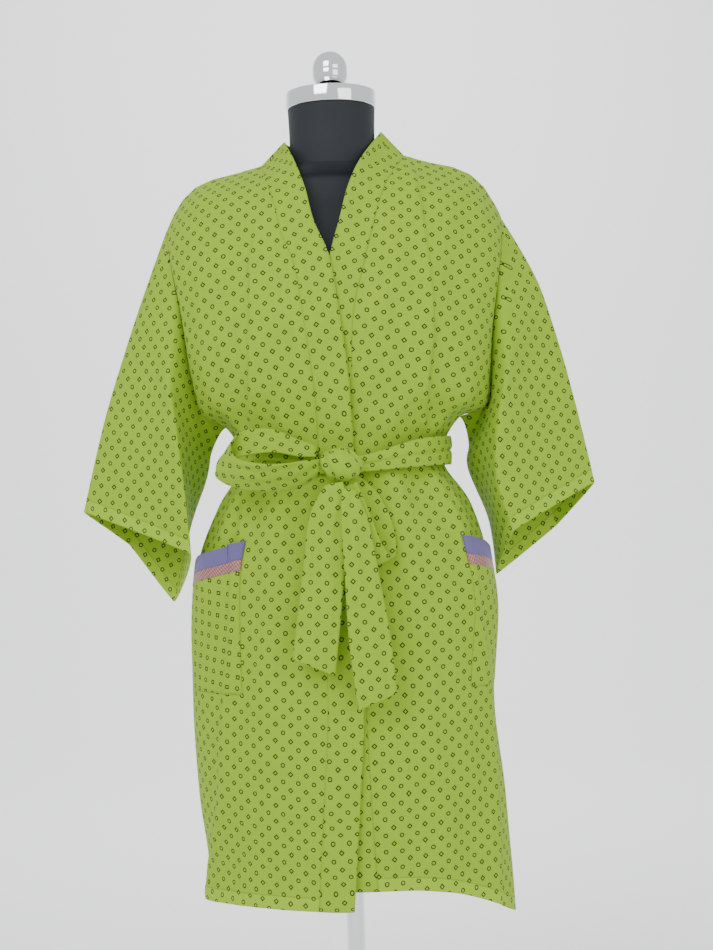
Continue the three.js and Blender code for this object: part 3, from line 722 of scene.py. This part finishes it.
@dataclass(frozen=True)
class PrintedCotton:
    """Thin lime cotton with rows of small printed rings and diamonds."""

    ground: Point = (0.36, 0.60, 0.012)
    shade: Point = (0.31, 0.53, 0.009)
    pale: Point = (0.45, 0.62, 0.08)
    ink: Point = (0.010, 0.020, 0.006)
    pitch: float = 0.0214
    ring_radius: float = 0.00245
    ring_width: float = 0.00092
    diamond_reach: float = 0.0029
    diamond_width: float = 0.00125
    soft: float = 0.00028
    clear: float = 0.22

    def stamp(self, tree: bpy.types.NodeTree, distance: object, reach: float, width: float) -> bpy.types.NodeSocket:
        """How inky a line is at a distance from a motif's middle.

        Args:
            tree: the material's nodes.
            distance: distance from the motif's middle.
            reach: the line's distance from the middle.
            width: half the line's width.

        Returns:
            1 on the line and 0 off it.
        """
        away = calculate(tree, "ABSOLUTE", calculate(tree, "SUBTRACT", distance, reach))
        return calculate(tree, "DIVIDE", calculate(tree, "SUBTRACT", width, away), self.soft, clamp=True)

    def make(self, name: str) -> bpy.types.Material:
        """Builds the material.

        Args:
            name: the material's name.

        Returns:
            The material.
        """
        made, tree, output = new_material(name)
        link = tree.links.new
        uv = node(tree, "ShaderNodeUVMap", uv_map=UV_NAME).outputs[0]
        wobble = node(tree, "ShaderNodeTexNoise", Scale=55.0, Detail=1.0)
        link(uv, wobble.inputs["Vector"])
        shift = node(tree, "ShaderNodeVectorMath", operation="SCALE")
        link(wobble.outputs["Color"], shift.inputs[0])
        shift.inputs["Scale"].default_value = 0.0011
        moved = node(tree, "ShaderNodeVectorMath", operation="ADD")
        link(uv, moved.inputs[0])
        link(shift.outputs[0], moved.inputs[1])
        parts = node(tree, "ShaderNodeSeparateXYZ")
        link(moved.outputs[0], parts.inputs[0])

        def cell(socket: object, offset: float) -> bpy.types.NodeSocket:
            """Distance along one way from the middle of the nearest cell, in metres."""
            place = calculate(tree, "ADD", calculate(tree, "DIVIDE", socket, self.pitch), offset)
            inside = calculate(tree, "SUBTRACT", calculate(tree, "FRACT", place), 0.5)
            return calculate(tree, "MULTIPLY", inside, self.pitch)

        ring_x, ring_y = (cell(parts.outputs[k], 0.5) for k in (0, 1))
        square_x, square_y = (cell(parts.outputs[k], 0.0) for k in (0, 1))
        ring_far = calculate(
            tree, "SQRT",
            calculate(tree, "ADD", calculate(tree, "MULTIPLY", ring_x, ring_x), calculate(tree, "MULTIPLY", ring_y, ring_y)),
        )
        square_far = calculate(
            tree, "ADD", calculate(tree, "ABSOLUTE", square_x), calculate(tree, "ABSOLUTE", square_y)
        )
        rings = self.stamp(tree, ring_far, self.ring_radius, self.ring_width)
        squares = self.stamp(tree, square_far, self.diamond_reach, self.diamond_width)
        inked = calculate(tree, "MAXIMUM", rings, squares)
        nearest = calculate(tree, "MINIMUM", ring_far, square_far)
        halo = calculate(tree, "DIVIDE", calculate(tree, "SUBTRACT", 0.0062, nearest), 0.003, clamp=True)

        dye = node(tree, "ShaderNodeTexNoise", Scale=26.0, Detail=3.0)
        link(uv, dye.inputs["Vector"])
        threads = node(tree, "ShaderNodeMapping")
        threads.inputs["Scale"].default_value = (900.0, 120.0, 1.0)
        link(uv, threads.inputs["Vector"])
        warp = node(tree, "ShaderNodeTexNoise", Scale=1.0, Detail=2.0)
        link(threads.outputs[0], warp.inputs["Vector"])
        crossing = node(tree, "ShaderNodeMapping")
        crossing.inputs["Scale"].default_value = (120.0, 900.0, 1.0)
        link(uv, crossing.inputs["Vector"])
        weft = node(tree, "ShaderNodeTexNoise", Scale=1.0, Detail=2.0)
        link(crossing.outputs[0], weft.inputs["Vector"])
        yarn = calculate(tree, "MULTIPLY", calculate(tree, "ADD", warp.outputs["Fac"], weft.outputs["Fac"]), 0.5)

        ground = blend_colour(tree, dye.outputs["Fac"], self.shade, self.ground)
        ground = blend_colour(tree, calculate(tree, "MULTIPLY", halo, 0.22), ground, self.pale)
        streak = calculate(tree, "SUBTRACT", calculate(tree, "MULTIPLY", yarn, 0.5), 0.05, clamp=True)
        ground = blend_colour(tree, streak, ground, self.pale)
        colour = blend_colour(tree, calculate(tree, "MULTIPLY", inked, 0.95), ground, self.ink)

        edge = node(tree, "ShaderNodeAttribute", attribute_name=EDGE_NAME).outputs["Fac"]
        stitch_far = calculate(tree, "ABSOLUTE", calculate(tree, "SUBTRACT", edge, HEM * MM))
        stitch = calculate(tree, "DIVIDE", calculate(tree, "SUBTRACT", 0.0011, stitch_far), 0.0006, clamp=True)
        doubled = calculate(tree, "LESS_THAN", edge, HEM * MM)
        colour = blend_colour(tree, calculate(tree, "MULTIPLY", stitch, 0.35), colour, (0.10, 0.15, 0.02))

        height = calculate(tree, "SUBTRACT", calculate(tree, "MULTIPLY", yarn, 0.4), stitch)
        relief = node(tree, "ShaderNodeBump", Strength=0.35, Distance=0.0006)
        link(height, relief.inputs["Height"])
        surface = node(tree, "ShaderNodeBsdfPrincipled", Roughness=0.82)
        surface.inputs["Sheen Weight"].default_value = 0.08
        surface.inputs["Sheen Roughness"].default_value = 0.45
        surface.inputs["Specular IOR Level"].default_value = 0.25
        link(colour, surface.inputs["Base Color"])
        link(relief.outputs[0], surface.inputs["Normal"])
        through = node(tree, "ShaderNodeBsdfTranslucent")
        link(colour, through.inputs["Color"])
        share = calculate(tree, "SUBTRACT", self.clear, calculate(tree, "MULTIPLY", doubled, 0.12))
        mixed = node(tree, "ShaderNodeMixShader")
        link(share, mixed.inputs[0])
        link(surface.outputs[0], mixed.inputs[1])
        link(through.outputs[0], mixed.inputs[2])
        link(mixed.outputs[0], output.inputs["Surface"])
        return made


@dataclass(frozen=True)
class WovenStrip:
    """A woven border strip, plain or with metallic rows."""

    base: Point
    thread: Point
    rows: float
    metal: float = 0.0
    roughness: float = 0.6

    def make(self, name: str) -> bpy.types.Material:
        """Builds the material.

        Args:
            name: the material's name.

        Returns:
            The material.
        """
        made, tree, output = new_material(name)
        link = tree.links.new
        uv = node(tree, "ShaderNodeUVMap", uv_map=UV_NAME).outputs[0]
        parts = node(tree, "ShaderNodeSeparateXYZ")
        link(uv, parts.inputs[0])
        wave = calculate(tree, "SINE", calculate(tree, "MULTIPLY", parts.outputs[1], 2 * math.pi / self.rows))
        dash = calculate(tree, "SINE", calculate(tree, "MULTIPLY", parts.outputs[0], 2 * math.pi / (self.rows * 1.3)))
        lines = calculate(tree, "MULTIPLY", calculate(tree, "ADD", wave, calculate(tree, "MULTIPLY", dash, 0.5)), 0.6, clamp=True)
        grain = node(tree, "ShaderNodeTexNoise", Scale=900.0, Detail=2.0)
        link(uv, grain.inputs["Vector"])
        colour = blend_colour(tree, lines, self.base, self.thread)
        colour = blend_colour(tree, calculate(tree, "MULTIPLY", grain.outputs["Fac"], 0.25), colour, self.base)
        relief = node(tree, "ShaderNodeBump", Strength=0.4, Distance=0.0006)
        link(lines, relief.inputs["Height"])
        surface = node(tree, "ShaderNodeBsdfPrincipled", Roughness=self.roughness, Metallic=self.metal)
        surface.inputs["Sheen Weight"].default_value = 0.15
        link(colour, surface.inputs["Base Color"])
        link(relief.outputs[0], surface.inputs["Normal"])
        link(surface.outputs[0], output.inputs["Surface"])
        return made


@dataclass(frozen=True)
class PlainFinish:
    """A finish of one colour: metal, paint or the form's cover."""

    colour: Point
    roughness: float
    metallic: float = 0.0
    sheen: float = 0.0
    coat: float = 0.0
    grain: float = 0.0

    def make(self, name: str) -> bpy.types.Material:
        """Builds the material.

        Args:
            name: the material's name.

        Returns:
            The material.
        """
        made, tree, output = new_material(name)
        link = tree.links.new
        surface = node(tree, "ShaderNodeBsdfPrincipled", Roughness=self.roughness, Metallic=self.metallic)
        surface.inputs["Base Color"].default_value = (*self.colour, 1.0)
        surface.inputs["Sheen Weight"].default_value = self.sheen
        surface.inputs["Coat Weight"].default_value = self.coat
        if self.grain:
            place = node(tree, "ShaderNodeTexCoord").outputs["Object"]
            speck = node(tree, "ShaderNodeTexNoise", Scale=700.0, Detail=2.0)
            link(place, speck.inputs["Vector"])
            relief = node(tree, "ShaderNodeBump", Strength=self.grain, Distance=0.0005)
            link(speck.outputs["Fac"], relief.inputs["Height"])
            link(relief.outputs[0], surface.inputs["Normal"])
        link(surface.outputs[0], output.inputs["Surface"])
        return made


# ---------------------------------------------------------------- the robe
class Held(Enum):
    """How a piece of cloth is held."""

    HUNG = "hung"
    FOLDED = "folded"


def declare(sewn: Sewn, material: bpy.types.Material) -> None:
    """Args:
        sewn: the piece, named after its node with _cloth added, and its cut.
        material: its finish.
    """
    piece, cut = sewn.piece, sewn.cut
    piece.data.materials.append(material)
    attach(piece, "root")
    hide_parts(piece.name.removesuffix("_cloth"))


def layer_area(piece: bpy.types.Object) -> float:
    """The area of one face of a thin closed sheet, in square metres."""
    return sum(face.area for face in piece.data.polygons) / 2


@dataclass
class Robe:
    """The robe's panels, neckband and sleeves."""

    cotton: bpy.types.Material
    violet: bpy.types.Material
    gold: bpy.types.Material
    front_columns: int = 112
    front_rows: int = 220
    back_columns: int = 150
    back_rows: int = 170
    sleeve_around: int = 144
    sleeve_rows: int = 104

    def panel_edge(self, points: Array) -> Array:
        """Distance of each point from the hem, measured down its column."""
        steps = np.linalg.norm(np.diff(points, axis=0), axis=2)
        run = np.concatenate([np.zeros((1, points.shape[1])), np.cumsum(steps, axis=0)], axis=0)
        return run[-1:] - run

    def front(self, side: Side) -> Sewn:
        """Builds a front from the neckband's seam to the armhole and side seam."""
        u, t = lattice(self.front_columns, self.front_rows)
        start = np.array([row_at(side, value, BAND - 0.5) for value in t[:, 0]])[:, None]
        points = front_point(side, start + u * (1 - start), t)
        cloth = Cloth(f"front_{side.word}_cloth", points, flip=side is Side.RIGHT, edge=self.panel_edge(points))
        return cloth.build()

    def back(self) -> Sewn:
        """Builds the back."""
        u, t = lattice(self.back_columns, self.back_rows)
        points = back_point(1 - 2 * u, t)
        return Cloth("back_cloth", points, edge=self.panel_edge(points)).build()

    def neckband(self) -> Sewn:
        """Builds the band, up the right front, round the neck and down the left front."""
        across, up, round_neck = 12, 200, 60
        w = np.linspace(0, 1, across + 1)

        def on_row(side: Side, t: float, reach: float = BAND + 1.0) -> Array:
            """A row of the band on a front, a little proud of it."""
            q = w * row_at(side, t, reach)
            row = front_point(side, q, np.full_like(q, t))
            row[:, 1] -= 0.9 * smooth(t / 0.02)
            return row

        rows = [on_row(Side.RIGHT, 1 - j / up) for j in range(up)]
        first, last = on_row(Side.RIGHT, 0), on_row(Side.LEFT, 0)
        for j in range(round_neck + 1):
            share = j / round_neck
            c, s = math.cos(math.pi * share), math.sin(math.pi * share)
            start, end = first[0], last[0]
            free = (
                start[0] + (end[0] - start[0]) * (1 - c) / 2,
                start[1] + 68 * s,
                start[2] + (end[2] - start[2]) * share - 4 * s,
            )
            lie = (first[-1] - start) * (1 - share) + (last[-1] - end) * share
            reach = abs(lie[0]) * (1 - s) + 6 * s
            drop = lie[2] * (1 - s) - 41 * s
            rows.append(np.stack([free[0] - w * reach * c, free[1] + w * reach * s, free[2] + w * drop], -1))
        rows += [on_row(Side.LEFT, j / up) for j in range(1, up + 1)]
        return Cloth("neckband_cloth", np.array(rows), thickness=DOUBLE, strip=True).build()

    def body_x(self, side: Side, y: Array, z: Array) -> Array:
        """Half the robe's width at a height and depth.

        Args:
            side: which side.
            y: depth of each point.
            z: height of each point.

        Returns:
            Distance of the robe's side from the middle.
        """
        heights = FRONTS[side].rows[:, 4]
        t = np.interp(-z, -heights, np.linspace(0, 1, len(heights)))
        front, back = FRONTS[side].at(t), BACK.at(t)
        ahead = y < 0
        deep = np.maximum(0, np.where(ahead, front["outDepth"], back["outDepth"]))
        full = np.where(ahead, front["edgeDepth"], back["midDepth"])
        square = np.where(ahead, front["square"], back["square"])
        share = np.clip((np.abs(y) - deep) / (full - deep), 0, 1)
        return front["outX"] * (1 - share**square) ** (1 / square)

    def sleeve(self, side: Side) -> Sewn:
        """Builds a sleeve from the armhole's seam to the cuff, cut along its inner fold."""
        u, v = lattice(self.sleeve_around, self.sleeve_rows)
        turn = (u + 0.5) % 1.0
        row = SLEEVES[side].at(v)
        corners = [np.stack([row[k + c] for c in "XYZ"], -1) for k in ("fold", "front", "inner", "back")]
        corners = np.stack(corners, 0)
        place = turn * 4
        i = np.floor(place).astype(int) % 4
        f = (place - np.floor(place))[..., None]
        bend = SIDE_ROUND_ARMHOLE + (SIDE_ROUND_CUFF - SIDE_ROUND_ARMHOLE) * v
        rounds = np.stack([np.full_like(v, FOLD_ROUND), bend, bend, bend], 0)
        rows, columns = np.indices(u.shape)
        a, b, c, d = (corners[(i + k) % 4, rows, columns] for k in (3, 0, 1, 2))
        leave = 0.5 * (c - a) * rounds[i, rows, columns][..., None]
        arrive = 0.5 * (d - b) * rounds[(i + 1) % 4, rows, columns][..., None]
        f2, f3 = f * f, f**3
        tube = b * (2 * f3 - 3 * f2 + 1) + leave * (f3 - 2 * f2 + f) + c * (3 * f2 - 2 * f3) + arrive * (f3 - f2)
        hang = 2.6 * np.sin(math.pi * v) * np.sin(math.pi * f[..., 0]) * np.sin(9 * math.pi * turn + 3 * v)
        ripple = crumple(turn * 600, v * 400, 110, 31 + side.value, 0.2) * 2.2 * smooth(v / 0.3) * (1 - 0.5 * v)
        ripple *= np.abs(np.sin(math.pi * f[..., 0])) ** 0.7
        tube[..., 0] *= side.value
        tube[..., 1] += (hang + ripple) * np.where(turn < 0.5, -1, 1)
        rim_t = RIM_SHARE * (1 - np.abs(1 - 2 * turn))
        front_rim = front_point(side, np.ones_like(u), rim_t, detail=False)
        back_rim = back_point(np.full_like(u, side.value), rim_t, detail=False)
        rim = np.where((turn <= 0.5)[..., None], front_rim, back_rim)
        ease = smooth(v / 0.3)[..., None]
        points = rim * (1 - ease) + tube * ease
        clear = 0.6 + 5.0 * ease[..., 0]
        reach = np.maximum(
            side.value * points[..., 0] + 0.6 * (1 - ease[..., 0]),
            np.where(points[..., 2] < 1300, self.body_x(side, points[..., 1], points[..., 2]) + clear, 0),
        )
        points[..., 0] = side.value * reach
        edge = self.panel_edge(points)
        return Cloth(f"sleeve_{side.word}_cloth", points, ring=True, flip=side is Side.LEFT, edge=edge).build()


@dataclass(frozen=True)
class PocketSizes:
    """Where a patch pocket lies on its front: rows, places along them, its slant and how far its mouth gapes."""

    top: float
    bottom: float
    inner: float
    outer: float
    slant: float
    gape: float


POCKETS = {
    Side.RIGHT: PocketSizes(0.668, 0.8, 0.5, 0.9, 0.03, 15),
    Side.LEFT: PocketSizes(0.668, 0.8, 0.6, 0.95, 0.02, 9),
}


@dataclass
class Pocket:
    """A patch pocket with a violet and a gold strip at its mouth."""

    side: Side
    sizes: PocketSizes

    def at(self, u: Array, v: Array, lift: float = 0.0) -> Array:
        """Points of the pocket.

        Args:
            u: from its inner edge to its outer one.
            v: from the mouth down.
            lift: how far the piece stands off the pocket's cloth.

        Returns:
            Points in millimetres.
        """
        s = self.sizes
        q = s.inner + u * (s.outer - s.inner)
        t = s.top + s.slant * u + v * (s.bottom - s.top - s.slant * u)
        base = front_point(self.side, q, t)
        away = 0.01
        across = front_point(self.side, q + away, t) - base
        down = front_point(self.side, q, t + away) - base
        out = np.cross(down, across)
        out /= np.linalg.norm(out, axis=-1, keepdims=True)
        gape = s.gape * np.sin(math.pi * u) ** 0.8 * np.clip(1 - v * 1.3, 0, 1) ** 1.4
        seam = 1 - np.minimum(1, 12 * np.minimum(np.minimum(u, 1 - u), 1 - v))
        return base + out * (self.side.value * (1.6 + lift + gape - 0.7 * seam))[..., None]

    def piece(self, name: str, start: float, end: float, rows: int, lift: float) -> Sewn:
        """Builds a strip of the pocket between two heights."""
        u, v = lattice(48, rows)
        points = self.at(u, start + (end - start) * v, lift)
        return Cloth(f"{name}_{self.side.word}_cloth", points, flip=self.side is Side.RIGHT, strip=True).build()


# ---------------------------------------------------------------- the sash
@dataclass
class Sash:
    """The sash: its turn round the waist, knot, loops and tails."""

    cotton: bpy.types.Material

    def turn(self) -> Sewn:
        """Builds the turn round the waist, in two folded layers, bunched at the knot."""
        u, v = lattice(240, 16)
        angle = 2 * math.pi * u
        c, s = np.cos(angle), np.sin(angle)
        square = 2 / 2.3
        signed = np.where(angle > math.pi, angle - 2 * math.pi, angle)
        bunched = bump(signed, 0, 0.5)
        height = 39 - 19 * bunched
        groove = -2.6 * bump(v, 0.52 + 0.03 * np.sin(3 * angle), 0.06) + 1.2 * np.sin(math.pi * v)
        ripple = 0.7 * np.sin(9 * angle + 4 * v) * bump(v, 0.3, 0.4)
        x = (151 + groove + ripple) * np.sign(s) * np.abs(s) ** square
        y = -(np.where(c > 0, 123, 99) + groove + ripple) * np.sign(c) * np.abs(c) ** square
        z = 1003 + 3 * s - 14 * bunched + height * (0.5 - v)
        points = np.stack([x, y, z], -1)
        return Cloth("sash_turn_cloth", points, ring=True, thickness=DOUBLE, strip=True).build()

    def strip(self, name: str, stations: Table, crown: float, seed: int) -> Sewn:
        """Builds a length of sash along its stations.

        Args:
            name: the piece's node.
            stations: its middle and half widths.
            crown: how far its middle rises over its edges.
            seed: which ripples.

        Returns:
            The piece.
        """
        u, v = lattice(20, 110)
        row = stations.at(v)
        middle = np.stack([row[k] for k in ("x", "y", "z")], -1)
        half = np.stack([row[k] for k in ("wx", "wy", "wz")], -1)
        points = middle + half * (2 * u - 1)[..., None]
        along = np.gradient(middle, axis=0)
        normal = np.cross(along, half)
        normal /= np.maximum(np.linalg.norm(normal, axis=-1, keepdims=True), 1e-9)
        size = np.linalg.norm(half, axis=-1)
        lift = crown * (1 - (2 * u - 1) ** 2) + crumple(u * 2 * size, v * 260, 26, seed, 0.2) * 1.1
        points = points - normal * lift[..., None]
        return Cloth(f"{name}_cloth", points, thickness=DOUBLE, strip=True).build()

    def knot(self) -> Sewn:
        """Builds the knot, a rounded lump with the wrapped layers' ridges."""
        u, v = lattice(72, 40)
        angle, rise = 2 * math.pi * u, math.pi * (0.006 + 0.988 * v)
        lean = angle + 0.6 * np.cos(rise)
        ridge = 1 + 0.05 * np.sin(3 * lean + 1.0) + 0.035 * np.sin(7 * lean + 2 * np.cos(rise))
        x = 27 * ridge * np.sin(rise) * np.sin(angle)
        y = -17 * ridge * np.sin(rise) * np.cos(angle)
        z = 21 * ridge * np.cos(rise)
        turn = 0.35
        points = np.stack([
            x * math.cos(turn) + z * math.sin(turn) + 1,
            y - 148,
            -x * math.sin(turn) + z * math.cos(turn) + 990,
        ], -1)
        flat = np.stack([u * 120 - 60, -v * 70], -1)
        lump = Cloth("sash_knot_cloth", points, ring=True, thickness=DOUBLE, flat=flat).build()
        wound = layer_area(lump.piece)
        return Sewn(lump.piece, Cut(SASH_FOLDED, wound / SASH_FOLDED, wound))


# ---------------------------------------------------------------- the dress form and its stand
@dataclass
class Form:
    """The dress form with its neck, metal cap, knob, pole and foot."""

    cover: bpy.types.Material
    chrome: bpy.types.Material
    steel: bpy.types.Material
    paint: bpy.types.Material
    cap_radius: float = 62.0
    cap_bottom: float = 1480.4
    cap_height: float = 22.6
    ball_radius: float = 24.0
    ball_height: float = 1537.0

    def shell(self, name: str, stations: Table, rows: int) -> bpy.types.Object:
        """Builds a closed smooth body from rings.

        Args:
            name: the CAD node it stands for.
            stations: its rings.
            rows: how many rings are made.

        Returns:
            The piece.
        """
        around = 96
        angle = np.linspace(0, 2 * math.pi, around, endpoint=False)
        row = stations.at(np.linspace(0, 1, rows + 1))
        depth = np.where(np.sin(angle)[None, :] < 0, row["front"][:, None], row["back"][:, None])
        x = row["halfWidth"][:, None] * np.cos(angle)
        y = depth * np.sin(angle)
        z = np.repeat(row["z"][:, None], around, 1)
        points = np.stack([x, y, z], -1).reshape(-1, 3) * MM
        faces = [
            (j * around + i, j * around + (i + 1) % around, (j + 1) * around + (i + 1) % around, (j + 1) * around + i)
            for j in range(rows) for i in range(around)
        ]
        faces += [tuple(range(around))[::-1], tuple(rows * around + i for i in range(around))]
        mesh = bpy.data.meshes.new(name)
        mesh.from_pydata(points.tolist(), [], faces)
        piece = bpy.data.objects.new(name, mesh)
        bpy.context.scene.collection.objects.link(piece)
        only(piece)
        bpy.ops.object.shade_smooth_by_angle(angle=math.radians(40))
        return piece

    def cap(self) -> bpy.types.Object:
        """Turns the metal cap on the neck: a short drum with rounded rims and a slightly domed top."""
        bpy.ops.object.select_all(action="DESELECT")
        bpy.ops.mesh.primitive_cylinder_add(
            vertices=128, radius=self.cap_radius * MM, depth=self.cap_height * MM, end_fill_type="NGON",
            location=(0, 0, (self.cap_bottom + self.cap_height / 2) * MM),
        )
        piece = bpy.context.object
        piece.name = "neck_cap_metal"
        bpy.ops.object.transform_apply(location=True, rotation=True, scale=True)
        bpy.ops.object.mode_set(mode="EDIT")
        bpy.ops.mesh.select_all(action="DESELECT")
        bpy.ops.object.mode_set(mode="OBJECT")
        for face in piece.data.polygons:
            face.select = face.normal.z > 0.9
        bpy.ops.object.mode_set(mode="EDIT")
        for inset, rise in ((0.004, 0.0006), (0.02, 0.0016), (0.02, 0.0009)):
            bpy.ops.mesh.inset(thickness=inset, depth=rise)
        bpy.ops.object.mode_set(mode="OBJECT")
        rim = piece.modifiers.new("rim", "BEVEL")
        rim.width = 0.0014
        rim.segments = 3
        rim.limit_method = "ANGLE"
        bpy.ops.object.modifier_apply(modifier=rim.name)
        bpy.ops.object.shade_smooth_by_angle(angle=math.radians(40))
        return piece

    def finial(self) -> bpy.types.Object:
        """Shapes the knob on the cap: a ball on a short stem."""
        bpy.ops.object.select_all(action="DESELECT")
        bpy.ops.mesh.primitive_uv_sphere_add(
            segments=72, ring_count=40, radius=self.ball_radius * MM, location=(0, 0, self.ball_height * MM)
        )
        piece = bpy.context.object
        piece.name = "finial_metal"
        bpy.ops.object.transform_apply(location=True, rotation=True, scale=True)
        stem = 10.5 * MM
        for face in piece.data.polygons:
            face.select = face.center.z < self.ball_height * MM and math.hypot(*face.center[:2]) < stem
        for vertex in piece.data.vertices:
            vertex.select = False
        bpy.ops.object.mode_set(mode="EDIT")
        bpy.ops.mesh.select_mode(type="FACE")
        bpy.ops.mesh.dissolve_faces()
        bpy.ops.mesh.extrude_region_move(TRANSFORM_OT_translate={"value": (0, 0, -7.5 * MM)})
        bpy.ops.mesh.extrude_region_move(TRANSFORM_OT_translate={"value": (0, 0, -1.5 * MM)})
        bpy.ops.transform.resize(value=(1.25, 1.25, 0.0), center_override=(0, 0, 1506.6 * MM))
        bpy.ops.object.mode_set(mode="OBJECT")
        bpy.ops.object.shade_smooth_by_angle(angle=math.radians(35))
        return piece

    def build(self) -> None:
        for node_name, stations, rows in (("form_torso", TORSO, 90), ("form_neck", NECK, 24)):
            piece = self.shell(f"{node_name}_cover", stations, rows)
            self.place(piece, self.cover, "cover", node_name)
        self.place(self.cap(), self.chrome, "chrome", "neck_cap")
        self.place(self.finial(), self.chrome, "chrome", "finial")
        for name, material in (
            ("form_flange", self.steel), ("pole", self.chrome), ("foot_hub", self.steel), ("foot", self.paint),
        ):
            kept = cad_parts[name]
            for slot in kept.material_slots:
                slot.link = "OBJECT"
                slot.material = material
            only(kept)
            bpy.ops.object.shade_smooth_by_angle(angle=math.radians(30))

    def place(self, piece: bpy.types.Object, material: bpy.types.Material, slot: str, stands_for: str) -> None:
        """Dresses a hard piece, attaches it to the root and hides the CAD node it stands for."""
        piece.data.materials.clear()
        piece.data.materials.append(material)
        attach(piece, "root")
        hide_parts(stands_for)
        LOG.info("%s: %d faces", piece.name, len(piece.data.polygons))


# ---------------------------------------------------------------- the studio
@dataclass
class Studio:
    """A plain pale room, soft light and the camera."""

    distance: float = 2.2
    height: float = 0.976
    across: float = 0.0197
    lean: float = math.radians(1.75)
    view_height: float = 1.311
    room_reach: float = 7.0
    sweep_start: float = 3.2
    sweep_radius: float = 1.6

    def room(self) -> None:
        """Builds the floor and the wall behind as one curved sheet."""
        profile = [(-self.room_reach, 0.0), (self.sweep_start, 0.0)]
        turns = 16
        for k in range(1, turns + 1):
            angle = math.pi / 2 * k / turns
            profile.append((
                self.sweep_start + self.sweep_radius * math.sin(angle), self.sweep_radius * (1 - math.cos(angle))
            ))
        profile.append((self.sweep_start + self.sweep_radius, self.room_reach))
        vertices = [(x, y, z) for y, z in profile for x in (-self.room_reach, self.room_reach)]
        faces = [(2 * k, 2 * k + 1, 2 * k + 3, 2 * k + 2) for k in range(len(profile) - 1)]
        mesh = bpy.data.meshes.new("room")
        mesh.from_pydata(vertices, [], faces)
        mesh.shade_smooth()
        room = bpy.data.objects.new("room", mesh)
        bpy.context.scene.collection.objects.link(room)
        mesh.materials.append(PlainFinish((0.93, 0.93, 0.92), 0.9).make("room_paint"))

    def lamp(self, name: str, place: Point, aim: Point, size: float, power: float) -> None:
        """Adds a square lamp that faces a point.

        Args:
            name: the lamp's name.
            place: where it hangs.
            aim: what it faces.
            size: its side.
            power: in watts.
        """
        data = bpy.data.lights.new(name, "AREA")
        data.size = size
        data.energy = power
        lamp = bpy.data.objects.new(name, data)
        lamp.location = place
        way = np.subtract(aim, place)
        flat = math.hypot(way[0], way[1])
        lamp.rotation_euler = (math.atan2(flat, -way[2]), 0, math.atan2(-way[0], way[1]))
        bpy.context.scene.collection.objects.link(lamp)

    def light(self) -> None:
        """Sets the soft light."""
        world = bpy.data.worlds.new("soft")
        world.use_nodes = True
        world.node_tree.nodes["Background"].inputs[0].default_value = (0.95, 0.98, 1.0, 1.0)
        world.node_tree.nodes["Background"].inputs[1].default_value = 0.95
        bpy.context.scene.world = world
        self.lamp("key", (-1.1, -2.3, 2.7), (0, 0, 1.1), 1.6, 46)
        self.lamp("fill", (1.6, -2.2, 1.6), (0, 0, 0.9), 1.6, 16)
        self.lamp("wall", (0.0, 1.6, 3.4), (0, 4.8, 1.2), 2.4, 150)

    def camera(self) -> None:
        """Sets the camera: level and a little rolled."""
        data = bpy.data.cameras.new("camera")
        data.sensor_width = 36.0
        data.lens = 36.0 * self.distance / self.view_height
        camera = bpy.data.objects.new("camera", data)
        camera.location = (self.across, -self.distance, self.height)
        camera.rotation_euler = (math.pi / 2, self.lean, 0)
        bpy.context.scene.collection.objects.link(camera)
        bpy.context.scene.camera = camera

    def build(self) -> None:
        """Builds the room, light and camera."""
        self.room()
        self.light()
        self.camera()


# ---------------------------------------------------------------- putting it together
def main() -> None:
    """Builds every piece in order; the hard pieces log their face counts."""
    logging.basicConfig(level=logging.INFO, format="%(name)s %(message)s")
    cotton = PrintedCotton().make("printed_cotton")
    violet = WovenStrip((0.11, 0.085, 0.25), (0.17, 0.14, 0.34), 0.0016).make("violet_border")
    gold = WovenStrip((0.30, 0.10, 0.13), (0.62, 0.45, 0.24), 0.0034, metal=0.35, roughness=0.42).make("gold_border")
    robe, sash = Robe(cotton, violet, gold), Sash(cotton)
    for sewn, held in (
        (robe.back(), Held.HUNG),
        (robe.front(Side.RIGHT), Held.HUNG),
        (robe.front(Side.LEFT), Held.HUNG),
        (robe.sleeve(Side.RIGHT), Held.HUNG),
        (robe.sleeve(Side.LEFT), Held.HUNG),
        (robe.neckband(), Held.HUNG),
        (sash.turn(), Held.FOLDED),
        (sash.knot(), Held.FOLDED),
        (sash.strip("sash_loop_right", RIGHT_LOOP, 2.0, 3), Held.FOLDED),
        (sash.strip("sash_loop_left", LEFT_LOOP, 1.5, 4), Held.FOLDED),
        (sash.strip("sash_tail_right", RIGHT_TAIL, -1.5, 5), Held.HUNG),
        (sash.strip("sash_tail_left", LEFT_TAIL, -1.5, 6), Held.HUNG),
    ):
        declare(sewn, cotton)
    for side, sizes in POCKETS.items():
        pocket = Pocket(side, sizes)
        for name, start, end, rows, lift, material, slot in (
            ("pocket", 0.25, 1.0, 40, 0.0, cotton, "cotton"),
            ("border_violet", 0.0, 0.16, 10, 0.5, violet, "violet"),
            ("border_gold", 0.16, 0.262, 8, 0.5, gold, "gold"),
        ):
            declare(pocket.piece(name, start, end, rows, lift), material)
    cover = PlainFinish((0.006, 0.009, 0.014), 0.7, sheen=0.06, grain=0.15).make("form_cover")
    chrome = PlainFinish((0.82, 0.83, 0.84), 0.08, metallic=1.0).make("chrome")
    steel = PlainFinish((0.62, 0.63, 0.64), 0.28, metallic=1.0).make("steel")
    paint = PlainFinish((0.018, 0.018, 0.02), 0.38, coat=0.2, grain=0.1).make("foot_paint")
    Form(cover, chrome, steel, paint).build()
    Studio().build()


if __name__ == "__main__":
    main()
